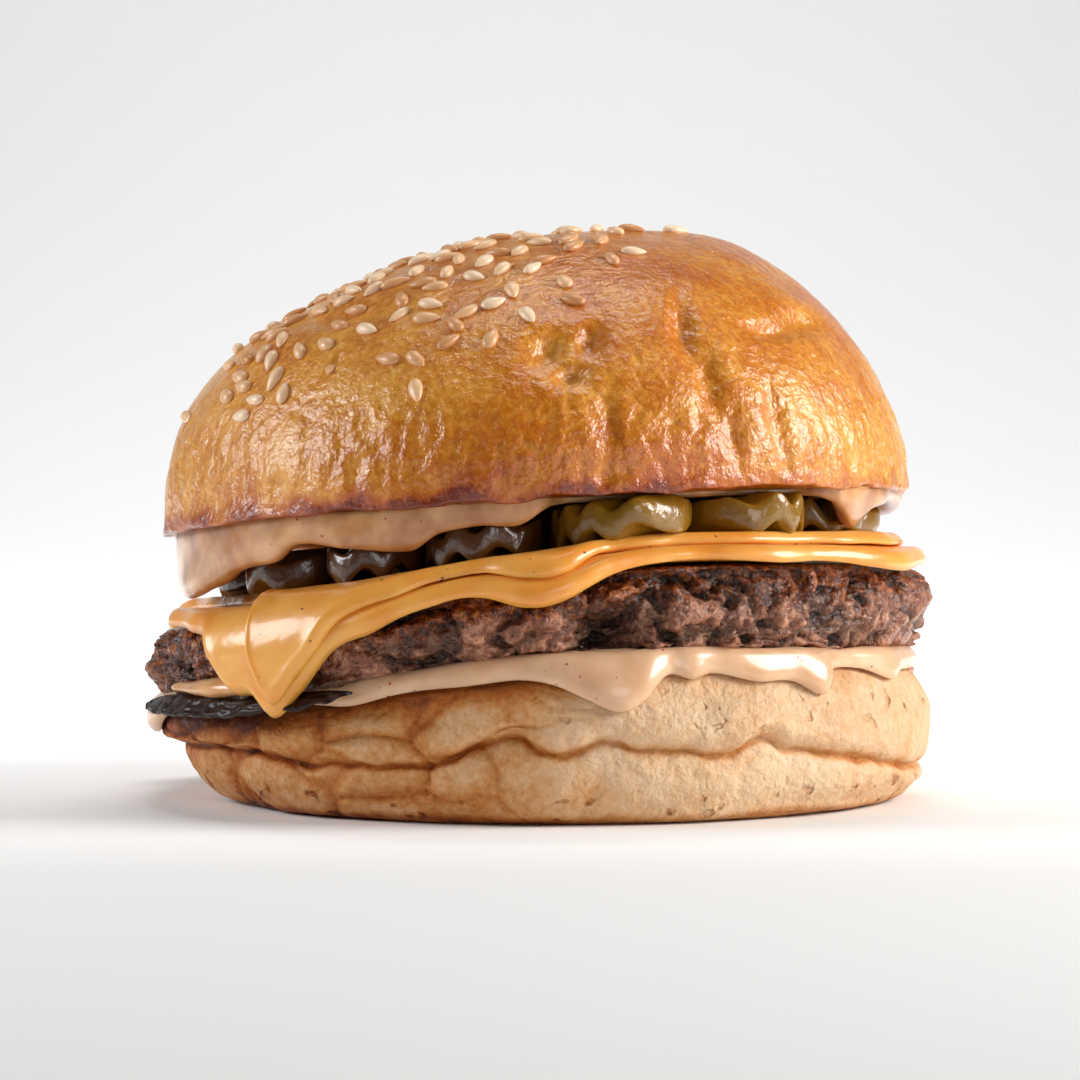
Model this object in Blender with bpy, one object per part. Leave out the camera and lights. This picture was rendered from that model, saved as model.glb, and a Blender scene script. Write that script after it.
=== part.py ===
"""A cheeseburger in a seeded bun, each layer and each pickle slice a solid of its own.

Z is up and the object rests on Z = 0. The front faces -Y. Shapes are worked out in
millimetres and turned into metres when a mesh gets its points. Angles are degrees
from +X towards +Y, so the front is at -90 and the left side at 180.
"""

import math
import random

import bmesh
import bpy
from mathutils import Quaternion, Vector, noise

MM = 0.001
GAP = 0.3
SEGMENTS = 48

HEEL_RADIUS = 50.0
HEEL_WIDER_ACROSS = 2.2
HEEL_TOP = 18.1
HEEL_FALL = 6.2
HEEL_FLARE = 7.0
CREASE_PLACE = 5.0
CREASE_DEPTH = 1.9
PATTY_RADIUS = 51.6
PATTY_WIDER_ACROSS = 1.6
PATTY_TOP = 29.6
PATTY_FALL = 6.8
CROWN_RADIUS = 49.6
CROWN_WIDER_ACROSS = 0.9
CROWN_BASE = 37.9
CROWN_HEIGHT = 38.2
CROWN_LEAN = 13.0
FRONT_LIFT = 0.055
CROWN_TILT = 0.06
SAUCE_BETWEEN = 0.9
UPPER_SAUCE = 0.6
SLICE = 1.6
EDGE_BEND = 4.0
PICKLE_THICKEST = 5.0
PICKLE_HALF_LENGTH = 10.4

SEED_LENGTH = 3.2
SEED_WIDTH = 1.9
SEED_THICK = 1.3
SEED_SPACING = 3.7
SEED_COUNT = 76
SEED_PATCH_X = -14.0
SEED_PATCH_Y = -4.0
SEED_PATCH_RADIUS = 36.0

# A profile is a list of (share of the radius, share of the height), from the middle
# of the top, over the edge and round to the middle of the underside.
HEEL_PROFILE = (
    (0.0, 1.0), (0.55, 1.0), (0.86, 1.0), (0.955, 0.93), (1.0, 0.68),
    (1.0, 0.4), (0.96, 0.13), (0.87, 0.0), (0.5, 0.0), (0.0, 0.0),
)
PATTY_PROFILE = (
    (0.0, 1.0), (0.5, 1.0), (0.8, 1.0), (0.93, 0.96), (0.99, 0.74),
    (1.0, 0.45), (0.975, 0.17), (0.9, 0.0), (0.5, 0.0), (0.0, 0.0),
)
# Height of the level fold in the side of the heel, as (angle, height).
CREASE_LEVEL = (
    (-172, 7.4), (-155, 8.0), (-140, 8.2), (-131, 7.2), (-114, 7.4), (-104, 8.0),
    (-97, 10.8), (-93, 11.4), (-90, 9.4), (-86, 9.1), (-81, 10.6), (-76, 9.6),
    (-68, 9.2), (-61, 8.6), (-56, 10.6), (-51, 9.0), (-42, 8.0), (-30, 6.4),
    (-10, 4.8), (10, 5.6), (35, 7.8), (60, 9.4), (90, 8.4), (120, 9.6), (150, 8.0),
)
# How far each slice of cheese reaches from the middle, over the patty and down its
# side, as (angle, distance). Its corners are the long reaches.
LOWER_SLICE_REACH = (
    (-174, 46), (-165, 50), (-158, 52), (-150, 52), (-144, 53), (-139.5, 56.5),
    (-135.5, 60), (-132, 60.5), (-128.5, 63), (-124.5, 60.5), (-119, 55.5),
    (-113, 53.5), (-105, 51.6), (-98, 51.6), (-92, 53.2), (-86, 53), (-80, 50.8),
    (-73, 49.4), (-65, 49), (-57, 50.4), (-46, 50.6), (-36, 52), (-27, 54),
    (-17, 53.5), (-6, 53.5), (8, 48), (30, 45), (44, 50), (56, 59), (68, 53),
    (84, 50), (108, 47), (130, 45), (155, 46),
)
UPPER_SLICE_REACH = (
    (-172, 43), (-157, 42.5), (-146, 43), (-138, 45), (-132.5, 52), (-127.5, 61.5),
    (-123, 57.5), (-117.5, 53), (-111, 51.4), (-104, 49.6), (-98, 49.4), (-92, 51),
    (-86, 50.8), (-80, 48.6), (-73, 47.2), (-65, 46.8), (-57, 48.2), (-46, 48.4),
    (-36, 49.8), (-27, 51.6), (-17, 51), (-6, 49.5), (12, 44), (36, 46), (50, 52),
    (62, 58), (76, 52), (96, 45), (118, 44), (134, 49), (150, 58), (166, 49),
)
# Shares of the radius at which the rings of the upper sauce lie, above and below.
SAUCE_TOP_RINGS = (0.0, 0.26, 0.5, 0.71, 0.87, 0.97, 1.0)
SAUCE_UNDER_RINGS = (0.0, 0.26, 0.5, 0.8, 0.962, 0.99, 1.0)
# How far the sauce runs down the heel, and hangs from the crown, as (angle, drop).
LOWER_RUN = (
    (-178, 3.4), (-170, 3.4), (-160, 1.6), (-140, 1.4), (-124, 1.6), (-113, 1.2),
    (-101, 1.6), (-93, 1.7), (-88, 2.8), (-83, 4.8), (-79, 6.1), (-75.5, 5.2),
    (-71, 2.1), (-67.5, 2.7), (-64, 1.9), (-57, 3.0), (-51, 2.9), (-45.5, 4.5),
    (-41, 1.4), (-35, 1.2), (-27, 2.8), (-20, 1.6), (0, 1.6), (20, 4.0), (38, 2.0),
    (57, 6.0), (72, 2.2), (96, 3.6), (112, 2.0), (130, 5.6), (145, 2.2), (160, 3.0),
)
UPPER_HANG = (
    (-172, 8.0), (-161, 8.2), (-151, 7.0), (-143, 5.4), (-135, 4.9), (-130, 3.0),
    (-121, 4.0), (-110, 4.9), (-105.5, 3.0), (-99, 2.4), (-93, 2.6), (-88, 0.3),
    (-80, 0.0), (-60, 0.0), (-45, 0.0), (-39, 0.8), (-32, 4.6), (-26, 2.2), (-12, 0.8),
    (12, 2.2), (30, 1.0), (47, 3.0), (62, 1.2), (84, 2.8), (104, 1.0), (121, 4.4),
    (136, 1.4), (150, 3.0), (166, 4.6),
)
# Pickle slices as (angle, distance out, half width, turn in degrees of its ridges).
PICKLES = (
    (-143, 35.6, 6.7, 20), (-122, 35.6, 6.2, -35), (-100.5, 36.4, 7.1, 10),
    (-75, 38.0, 8.6, 55), (-50, 37.8, 7.6, -20), (-27.5, 36.2, 6.6, 35),
    (2, 35.6, 8.0, -50), (38, 35.8, 9.0, 15), (80, 35.0, 8.6, 60),
    (122, 35.4, 8.8, -10), (166, 35.0, 8.4, 40),
)


def clamp(value, low=0.0, high=1.0):
    return min(max(value, low), high)


def ease(value, low, high):
    """0 below low, 1 above high, and a smooth step between them."""
    share = clamp((value - low) / (high - low))
    return share * share * (3 - 2 * share)


def turn_between(angle, other):
    return (angle - other + 180) % 360 - 180


def bump(angle, centre, width):
    """1 at an angle and smoothly nothing a couple of widths to either side."""
    return math.exp(-((turn_between(angle, centre) / width) ** 2))


def curve_value(before, start, end, after, share):
    """One number on a smooth curve from start to end."""
    straight = end - start
    return start + share * (
        0.5 * (end - before)
        + share * (before - 2.5 * start + 2 * end - 0.5 * after)
        + share * share * (0.5 * (after - before) - 1.5 * straight)
    )


def along(points, place):
    """The point at a place on a smooth curve through the points, counted from 0."""
    last = len(points) - 1
    step = min(int(place), last - 1)
    near = [points[int(clamp(step + k, 0, last))] for k in (-1, 0, 1, 2)]
    return tuple(curve_value(*values, place - step) for values in zip(*near))


def around(pairs, angle):
    """The value at an angle, on a smooth closed curve through (angle, value) pairs."""
    count = len(pairs)
    for index in range(count):
        width = (pairs[(index + 1) % count][0] - pairs[index][0]) % 360
        ahead = (angle - pairs[index][0]) % 360
        if ahead <= width:
            near = [pairs[(index + k) % count][1] for k in (-1, 0, 1, 2)]
            return curve_value(*near, ahead / width)
    return pairs[0][1]


def polar(angle, radius):
    turn = math.radians(angle)
    return radius * math.cos(turn), radius * math.sin(turn)


def squared_cosine(angle):
    return math.cos(math.radians(angle)) ** 2


def lumps(x, y, z, size, seed):
    """Smooth unevenness between about -1 and 1, with lumps of the given size."""
    return noise.noise(Vector((x / size + seed, y / size - seed, z / size)))


def left_fall(x):
    """How much of the fall towards the left side has happened at x."""
    return ease(20 - x, 0, 62)


def heel_top(x, y):
    return HEEL_TOP - 0.05 * y - HEEL_FALL * left_fall(x) ** 1.5


def patty_bottom(x, y):
    return heel_top(x, y) + 2 * GAP + SAUCE_BETWEEN


def patty_top(x, y):
    return PATTY_TOP - FRONT_LIFT * y + 0.03 * max(x, 0) - PATTY_FALL * left_fall(x)


def cheese_top(x, y):
    return patty_top(x, y) + 2 * (GAP + SLICE)


def crown_base(x, y):
    return CROWN_BASE + CROWN_TILT * (x - y)


def heel_point(angle, place):
    """A point of the heel's smooth skin as (radius, height)."""
    share, rise = along(HEEL_PROFILE, place)
    rise = clamp(rise)
    left = bump(angle, 180, 55)
    widest = HEEL_RADIUS + HEEL_WIDER_ACROSS * squared_cosine(angle) + 0.3 * left
    radius = share * widest - HEEL_FLARE * (1 - rise) * left * ease(place, 2.0, 4.0)
    if place > 7:
        radius = share / 0.87 * (0.87 * widest - HEEL_FLARE * left)
    return radius, rise * heel_top(*polar(angle, radius))


def heel_surface(angle, place):
    """The skin with its crease, which one ring of points is brought up or down to."""
    radius, height = heel_point(angle, place)
    x, y = polar(angle, radius)
    side = ease(place, 3.0, 4.0) - ease(place, 6.4, 7.0)
    relief = 1.1 * min(lumps(x, y, height * 1.4, 13, 4.0), 0.25)
    depth = CREASE_DEPTH * (1 - 0.4 * bump(angle, 180, 40))
    relief -= depth * math.exp(-(((place - CREASE_PLACE) / 0.35) ** 2))
    shift = around(CREASE_LEVEL, angle) - heel_point(angle, CREASE_PLACE)[1]
    height += shift * math.exp(-(((place - CREASE_PLACE) / 0.7) ** 2))
    x, y = polar(angle, radius + side * relief)
    return x, y, max(height, 0.0)


def patty_point(angle, place):
    """A point of the patty's outer envelope as (radius, height)."""
    share, rise = along(PATTY_PROFILE, place)
    radius = share * (PATTY_RADIUS + PATTY_WIDER_ACROSS * squared_cosine(angle))
    x, y = polar(angle, radius)
    low = patty_bottom(x, y)
    return radius, low + clamp(rise) * (patty_top(x, y) - low)


def patty_surface(angle, place):
    """The craggy skin, cut in from the envelope, with the burnt lace at its foot."""
    radius, height = patty_point(angle, place)
    x, y = polar(angle, radius)
    side = ease(place, 2.9, 3.6) - ease(place, 6.4, 7.2)
    coarse = lumps(x, y, height, 7.5, 9.0)
    fine = lumps(x, y, height, 3.6, 2.0)
    crag = clamp(0.9 + 2.4 * coarse + 1.4 * fine, 0.0, 2.8)
    under_cheese = ease(around(LOWER_SLICE_REACH, angle), 52.0, 57.0)
    cave = 3.0 * bump(angle, -80, 7) * math.exp(-(((place - 5.9) / 0.9) ** 2))
    radius -= side * (crag * (1 - 0.5 * under_cheese) + cave)
    lace = ease(angle, -168, -158) - ease(angle, -122, -112)
    radius += 3.0 * lace * math.exp(-(((place - 6.6) / 0.45) ** 2))
    x, y = polar(angle, radius)
    return x, y, height


def ladder(values, place):
    """The value at a place on straight runs between the values, counted from 0."""
    step = int(clamp(place, 0, len(values) - 2))
    return values[step] + (place - step) * (values[step + 1] - values[step])


def offset_from(point, angle, place, distance):
    """A point this far outside a skin, as (radius, height)."""
    radius, height = point(angle, place)
    near = point(angle, max(place - 0.05, 0.0))
    far = point(angle, place + 0.05)
    run = far[0] - near[0]
    drop = near[1] - far[1]
    length = math.hypot(run, drop)
    return radius + distance * drop / length, height + distance * run / length


def lower_sauce_surface(angle, turn):
    """Sauce on the heel: its top runs out to the edge and its underside runs back."""
    hang = around(LOWER_RUN, angle)
    share = 1 - hang / heel_top(*polar(angle, HEEL_RADIUS))
    end = 3.0 + (0.93 - share) / 0.25
    place = end * math.sin(math.pi * turn)
    clear = GAP + 0.35 * (1 - ease(place, 1.0, 1.6) + ease(place, 1.9, 2.6))
    if turn > 0.5:
        radius, height = offset_from(heel_point, angle, place, clear)
    else:
        thick = 0.85 * SAUCE_BETWEEN + 1.2 * ease(place, 2.3, 3.0) - (clear - GAP)
        bead = math.sqrt(1 - clamp((place - end + 0.7) / 0.7) ** 2)
        radius, height = offset_from(heel_point, angle, place, clear + thick * bead)
    x, y = polar(angle, radius)
    return x, y, height


def slice_point(angle, distance, lift):
    """A point this far out over the patty, round its edge, and this high above it."""
    start = PATTY_RADIUS + PATTY_WIDER_ACROSS * squared_cosine(angle) + GAP - EDGE_BEND
    flat = min(distance, start)
    turned = clamp((distance - start) / EDGE_BEND, 0.0, math.pi / 2)
    hanging = max(distance - start - EDGE_BEND * math.pi / 2, 0.0)
    level = patty_top(*polar(angle, flat)) - EDGE_BEND
    x, y = polar(angle, flat + (EDGE_BEND + lift) * math.sin(turned))
    return x, y, level + (EDGE_BEND + lift) * math.cos(turned) - hanging


def bend_room(distance):
    """More room between the slices where they bend over the edge of the patty."""
    return 0.35 * ease(distance, 43.0, 48.0)


def slice_surface(angle, turn, reaches, below):
    """A slice of cheese with this many layers below it, its rings close at its edge."""
    inwards = 2 * min(turn, 1 - turn)
    share = 2.8 * inwards if inwards < 0.25 else 0.6 + 0.4 * inwards
    distance = around(reaches, angle) * share
    lift = GAP + below * (GAP + SLICE + bend_room(distance))
    lift += 1.5 * below * bump(angle, -134, 8) * ease(distance, 43.0, 48.0)
    if turn < 0.5:
        lift += SLICE * math.sqrt(1 - clamp((share - 0.94) / 0.066) ** 2)
    return slice_point(angle, distance, lift)


def pickle_surface(angle, turn, slice_at):
    """A wavy-cut slice that lies on the cheese and bends down over its edge."""
    middle, out, half_width, ridges = slice_at
    share = math.sin(math.pi * turn)
    aside = half_width * share * math.sin(math.radians(angle))
    forward = PICKLE_HALF_LENGTH * share * math.cos(math.radians(angle))
    turned = math.radians(ridges)
    across = aside * math.cos(turned) + forward * math.sin(turned)
    wave = 0.22 * math.cos(2 * math.pi * across / 4.2)
    distance = out + forward
    turned_to = middle + math.degrees(aside / out)
    x, y = polar(turned_to, distance)
    room = crown_base(x, y) - cheese_top(x, y) - 3 * GAP - UPPER_SAUCE
    room -= upper_hang(turned_to) * ease(distance, 42.0, 44.5) + bend_room(distance)
    room += UPPER_SAUCE * drawn_back(turned_to) * ease(distance, 43.5, 45.0)
    thick = min(0.95 * room, PICKLE_THICKEST)
    half = thick / 2 * math.sqrt(max(1 - share**6, 0.0))
    lift = 2 * (GAP + SLICE) + GAP + thick / 2 + bend_room(distance)
    lift += half - abs(wave) if turn < 0.5 else -half + abs(wave)
    return slice_point(turned_to, distance, lift)


def upper_hang(angle):
    return max(around(UPPER_HANG, angle), 0.0)


def drawn_back(angle):
    """1 where the upper sauce has drawn back from the rim and lets the pickles show."""
    return 1 - ease(upper_hang(angle), 0.0, 0.6)


def crown_point(angle, place):
    """A point of the crown's smooth skin. Place 0 is its top, 1 its rim, 2 its base."""
    widest = CROWN_RADIUS + CROWN_WIDER_ACROSS * squared_cosine(angle)
    if place <= 1:
        level = math.sin(math.pi / 2 * (1 - place))
        radius = widest * math.cos(math.pi / 2 * (1 - place))
    else:
        level = 0.0
        radius = widest * (2 - place)
    x, y = polar(angle, radius)
    base = crown_base(x, y)
    height = base + (CROWN_BASE - base) * level + CROWN_HEIGHT * level
    edge = ease(place, 0.88, 0.97) - ease(place, 1.0, 1.06)
    x, y = polar(angle, radius - 0.5 * edge)
    return x - 0.7 + CROWN_LEAN * level**4, y, height


# Dents in the crown as (angle, place, width in degrees, width in place, depth).
CROWN_DENTS = (
    (-88, 0.66, 6, 0.06, 1.6), (-82, 0.76, 4, 0.05, 1.3), (-62, 0.66, 3, 0.13, 1.5),
    (-38, 0.62, 7, 0.04, 1.2), (-26, 0.55, 9, 0.03, 0.9), (-53, 0.86, 2.5, 0.07, 0.9),
    (-138, 0.52, 22, 0.04, 0.8), (96, 0.7, 5, 0.1, 1.4), (40, 0.6, 8, 0.05, 1.1),
    (150, 0.74, 4, 0.1, 1.0),
)


def crown_relief(angle, place, x, y, z):
    relief = 0.9 * lumps(x, y, z, 24, 1.0) + 0.35 * lumps(x, y, z, 9, 6.0)
    for at, level, wide, tall, depth in CROWN_DENTS:
        relief -= depth * bump(angle, at, wide) * math.exp(-(((place - level) / tall) ** 2))
    return relief * (1 - ease(place, 0.95, 1.0)) * ease(place, 0.0, 0.15)


def crown_surface(angle, turn):
    place = turn / 0.72 if turn < 0.72 else 1 + (turn - 0.72) / 0.28
    centre = Vector((0.0, 0.0, CROWN_BASE))
    point = Vector(crown_point(angle, place))
    outwards = (point - centre).normalized()
    return point + outwards * crown_relief(angle, place, *point)


def upper_sauce_surface(angle, turn):
    """Sauce under the crown: level on top, thick in the middle and hanging in drops."""
    hang = upper_hang(angle)
    edge = CROWN_RADIUS + CROWN_WIDER_ACROSS * squared_cosine(angle) - 3.0
    edge += 1.4 * ease(hang, 0.6, 1.6) - 4.0 * drawn_back(angle)
    inwards = 12 * min(turn, 1 - turn)
    if turn <= 0.5:
        x, y = polar(angle, edge * ladder(SAUCE_TOP_RINGS, inwards))
        return x, y, crown_base(x, y) - GAP
    radius = edge * ladder(SAUCE_UNDER_RINGS, inwards)
    x, y = polar(angle, radius)
    top = crown_base(x, y) - GAP
    middle = 1 - ease(radius, 19.0, 24.0)
    bottom = top - UPPER_SAUCE - middle * (top - UPPER_SAUCE - cheese_top(x, y) - GAP)
    return x, y, bottom - hang * ease(radius / edge, 0.965, 0.99)


def finish(name):
    """A plain material in the piece's own colour."""
    colour, roughness = FINISHES[name.split("_")[0] if "pickle" in name else name]
    material = bpy.data.materials.new(name)
    material.use_nodes = True
    shader = material.node_tree.nodes["Principled BSDF"]
    shader.inputs["Base Color"].default_value = (*colour, 1.0)
    shader.inputs["Roughness"].default_value = roughness
    shader.inputs["Metallic"].default_value = 0.0
    return material


FINISHES = {
    "bun_bottom": ((0.72, 0.52, 0.31), 0.75),
    "bun_top": ((0.56, 0.26, 0.07), 0.4),
    "patty": ((0.11, 0.055, 0.04), 0.55),
    "cheese_lower": ((0.85, 0.38, 0.06), 0.4),
    "cheese_upper": ((0.88, 0.42, 0.09), 0.35),
    "sauce_lower": ((0.8, 0.55, 0.36), 0.3),
    "sauce_upper": ((0.78, 0.52, 0.36), 0.3),
    "pickle": ((0.2, 0.17, 0.02), 0.3),
}


def moulded(name, collection, surface, segments=SEGMENTS, rings=18):
    """A ball whose points are moved to surface(angle, turn), turn going top to base."""
    mesh = bpy.data.meshes.new(name)
    ball = bmesh.new()
    bmesh.ops.create_uvsphere(ball, u_segments=segments, v_segments=rings, radius=1.0)
    for vertex in ball.verts:
        angle = math.degrees(math.atan2(vertex.co.y, vertex.co.x))
        turn = math.acos(clamp(vertex.co.z, -1.0, 1.0)) / math.pi
        vertex.co = Vector(surface(angle, turn)) * MM
    bmesh.ops.triangulate(ball, faces=ball.faces[:])
    ball.to_mesh(mesh)
    ball.free()
    mesh.shade_smooth()
    piece = bpy.data.objects.new(name, mesh)
    piece.data.materials.append(finish(name))
    collection.objects.link(piece)
    return piece


def seed_places():
    """Places of the seeds on the crown, thinning out at the edge of their patch."""
    draw = random.Random(11)
    places = []
    while len(places) < SEED_COUNT:
        angle = draw.uniform(-180, 180)
        place = math.sqrt(draw.uniform(0.0, 0.6))
        point = Vector(crown_surface(angle, 0.72 * place))
        away = math.hypot(point.x - SEED_PATCH_X, point.y - SEED_PATCH_Y)
        kept = draw.random() < 1.15 - (away / SEED_PATCH_RADIUS) ** 3
        turn = draw.uniform(0, 360)
        if not kept or away > SEED_PATCH_RADIUS:
            continue
        if all((point - other).length > SEED_SPACING for other, *_ in places):
            places.append((point, angle, place, turn))
    return places


def seed(name, collection, point, angle, place, turn):
    """A flat teardrop lying in the crust, a little more than half of it above."""
    ahead = Vector(crown_surface(angle + 1.0, 0.72 * place))
    below = Vector(crown_surface(angle, 0.72 * min(place + 0.02, 1.0)))
    outwards = (below - point).cross(ahead - point).normalized()
    mesh = bpy.data.meshes.new(name)
    drop = bmesh.new()
    bmesh.ops.create_uvsphere(drop, u_segments=5, v_segments=3, radius=0.5)
    for vertex in drop.verts:
        narrow = 1 - 0.45 * (vertex.co.z + 0.5)
        flat = vertex.co.y * SEED_THICK * narrow
        vertex.co = Vector((vertex.co.z * SEED_LENGTH, vertex.co.x * SEED_WIDTH * narrow, flat))
    drop.to_mesh(mesh)
    drop.free()
    piece = bpy.data.objects.new(name, mesh)
    piece.location = (point - outwards * 0.08) * MM
    upright = outwards.to_track_quat("Z", "X")
    piece.rotation_mode = "QUATERNION"
    piece.rotation_quaternion = upright @ Quaternion((0, 0, 1), math.radians(turn))
    piece.scale = (MM, MM, MM)
    collection.objects.link(piece)
    return piece


def add_seeds(crown, collection):
    """Joins the seeds to the crown with one Boolean union."""
    patch = bpy.data.collections.new("seeds")
    collection.children.link(patch)
    for number, place in enumerate(seed_places()):
        seed(f"seed_{number}", patch, *place)
    union = crown.modifiers.new("seeds", "BOOLEAN")
    union.operation = "UNION"
    union.operand_type = "COLLECTION"
    union.solver = "MANIFOLD"
    union.collection = patch
    bpy.context.view_layer.update()
    graph = bpy.context.evaluated_depsgraph_get()
    joined = bpy.data.meshes.new_from_object(crown.evaluated_get(graph))
    crown.modifiers.remove(union)
    crown.data = joined
    for piece in list(patch.objects):
        bpy.data.objects.remove(piece)
    bpy.data.collections.remove(patch)


def main():
    for piece in list(bpy.data.objects):
        bpy.data.objects.remove(piece)
    burger = bpy.data.collections.new("cheeseburger")
    bpy.context.scene.collection.children.link(burger)
    moulded("bun_bottom", burger, lambda a, t: heel_surface(a, 9 * t), rings=18)
    moulded("sauce_lower", burger, lower_sauce_surface, rings=12)
    moulded("patty", burger, lambda a, t: patty_surface(a, 9 * t), segments=54)
    moulded(
        "cheese_lower", burger,
        lambda a, t: slice_surface(a, t, LOWER_SLICE_REACH, 0), 64, 16,
    )
    moulded(
        "cheese_upper", burger,
        lambda a, t: slice_surface(a, t, UPPER_SLICE_REACH, 1), 64, 16,
    )
    for number, slice_at in enumerate(PICKLES, start=1):
        moulded(
            f"pickle_{number}", burger,
            lambda a, t, at=slice_at: pickle_surface(a, t, at), segments=12, rings=6,
        )
    moulded("sauce_upper", burger, upper_sauce_surface, rings=12)
    crown = moulded("bun_top", burger, crown_surface, rings=20)
    add_seeds(crown, burger)


main()
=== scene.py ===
# %% Load the measured frame
import math
import random

import bmesh
import bpy
import numpy as np
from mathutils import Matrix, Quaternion, Vector, noise


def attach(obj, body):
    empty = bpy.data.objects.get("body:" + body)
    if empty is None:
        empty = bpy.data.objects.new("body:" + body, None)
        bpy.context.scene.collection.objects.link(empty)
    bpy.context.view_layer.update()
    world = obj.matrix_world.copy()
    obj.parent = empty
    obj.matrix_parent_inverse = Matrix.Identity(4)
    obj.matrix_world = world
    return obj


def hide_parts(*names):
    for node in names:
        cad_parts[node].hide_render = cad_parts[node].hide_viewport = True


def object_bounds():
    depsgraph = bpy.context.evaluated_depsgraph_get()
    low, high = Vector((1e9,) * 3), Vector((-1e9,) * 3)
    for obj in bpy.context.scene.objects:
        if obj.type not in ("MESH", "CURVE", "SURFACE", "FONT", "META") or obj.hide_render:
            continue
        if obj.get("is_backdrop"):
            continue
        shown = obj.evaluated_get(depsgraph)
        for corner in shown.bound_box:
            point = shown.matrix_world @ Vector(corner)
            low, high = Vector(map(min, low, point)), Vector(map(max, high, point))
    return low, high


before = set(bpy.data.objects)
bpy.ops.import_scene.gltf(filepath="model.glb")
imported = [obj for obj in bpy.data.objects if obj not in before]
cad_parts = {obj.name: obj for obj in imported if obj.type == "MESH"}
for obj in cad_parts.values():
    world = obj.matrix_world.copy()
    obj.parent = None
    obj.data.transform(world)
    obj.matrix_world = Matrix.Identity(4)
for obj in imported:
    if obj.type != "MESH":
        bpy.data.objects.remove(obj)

cad_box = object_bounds()
print("nodes:", ", ".join(sorted(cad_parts)))
print("frame box in mm:", [[round(1000 * side, 1) for side in corner] for corner in cad_box])


# %% [markdown]
# ## What is on the table
# A cheeseburger, looked at from just above the level of the table. From the table up:
# the pale heel of a soft bun, a run of creamy sauce, a craggy seared patty with a lace of
# burnt fat at its foot, two melted slices of cheese, a ring of wavy-cut pickle slices,
# more sauce, and the glossy crown with its patch of sesame seeds.
#
# Every layer is a round thing seen from the side, so one idea makes nearly all of them:
# a ball whose points are moved to where an outline says, at each angle round the burger
# and each step from its top to its base. Hand sculpting would give the same shapes, but
# an outline in numbers can be read, changed and made again the same. Angles are degrees
# from +X towards +Y, so the front is at -90 and the left side at 180, and sizes are
# millimetres until a mesh gets its points.

# %% Smooth steps and curves
MM = 0.001


def clamp(value, low=0.0, high=1.0):
    return np.clip(value, low, high)


def ease(value, low, high):
    """0 below low, 1 above high, and a smooth step between them."""
    share = clamp((value - low) / (high - low))
    return share * share * (3 - 2 * share)


def hump(value, middle, width):
    """1 in the middle and smoothly nothing a couple of widths to either side."""
    return np.exp(-(((value - middle) / width) ** 2))


def bump(angle, centre, width):
    """A hump at an angle round the burger."""
    return hump((angle - centre + 180) % 360 - 180, 0.0, width)


def polar(angle, radius):
    turn = np.radians(angle)
    return radius * np.cos(turn), radius * np.sin(turn)


def squared_cosine(angle):
    return np.cos(np.radians(angle)) ** 2


def lumps(x, y, z, size, seed):
    """Smooth unevenness between about -1 and 1, with lumps of the given size."""
    places = np.stack((x / size + seed, y / size - seed, z / size), -1)
    return np.array([noise.noise(place) for place in places.tolist()])


def ripple(angle, size, seed, rise=0.0):
    """Unevenness of an edge that goes round the burger."""
    return lumps(*polar(angle, 50.0), rise + 0 * angle, size, seed)


def cell_edges(x, y, z, size):
    """How far each point is from the edge of its cell, in a pattern of cells this large."""
    places = np.stack((x, y, z), -1) / size
    nearest = (noise.voronoi(place)[0] for place in places.tolist())
    return np.array([second - first for first, second, *_ in nearest])


# %% [markdown]
# ## Curves through a few points
# Outlines are held as a handful of points that a baker or a cook would point at: the
# shoulder, the widest part, the foot. A smooth curve through them gives the rest. A
# Catmull-Rom curve is used and not a Bezier one, because it passes through its points.

# %% Smooth curves through points
def curve_value(before, start, end, after, share):
    straight = end - start
    return start + share * (
        0.5 * (end - before)
        + share * (before - 2.5 * start + 2 * end - 0.5 * after)
        + share * share * (0.5 * (after - before) - 1.5 * straight)
    )


def along(points, place):
    """Columns of a smooth curve through the points, at places counted from 0."""
    table = np.array(points, float)
    last = len(table) - 1
    step = clamp(np.floor(place).astype(int), 0, last - 1)
    near = [table[clamp(step + k, 0, last)] for k in (-1, 0, 1, 2)]
    return curve_value(*near, (place - step)[:, None]).T


def around(pairs, angle):
    """Values at angles, on a smooth closed curve through (angle, value) pairs."""
    at, value = np.array(pairs, float).T
    ahead = (angle - at[0]) % 360 + at[0]
    step = np.searchsorted(at, ahead, side="right") - 1
    width = (np.roll(at, -1) - at) % 360
    near = [value[(step + k) % len(at)] for k in (-1, 0, 1, 2)]
    return curve_value(*near, (ahead - at[step]) / width[step])


# %% [markdown]
# ## From an outline to a skin
# `skin` is the workhorse. It lays rings of points from a pole on top to a pole below and
# asks a surface function where each point goes. Rings can be close together where the
# eye goes, such as the side of the patty, and far apart where another layer covers them.
# Each point also keeps notes, such as how toasted it is, for the materials to read.

# %% A closed skin, and notes on its points
def placed(name, data):
    """A new object, put in the scene."""
    made = bpy.data.objects.new(name, data)
    bpy.context.scene.collection.objects.link(made)
    return made


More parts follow.
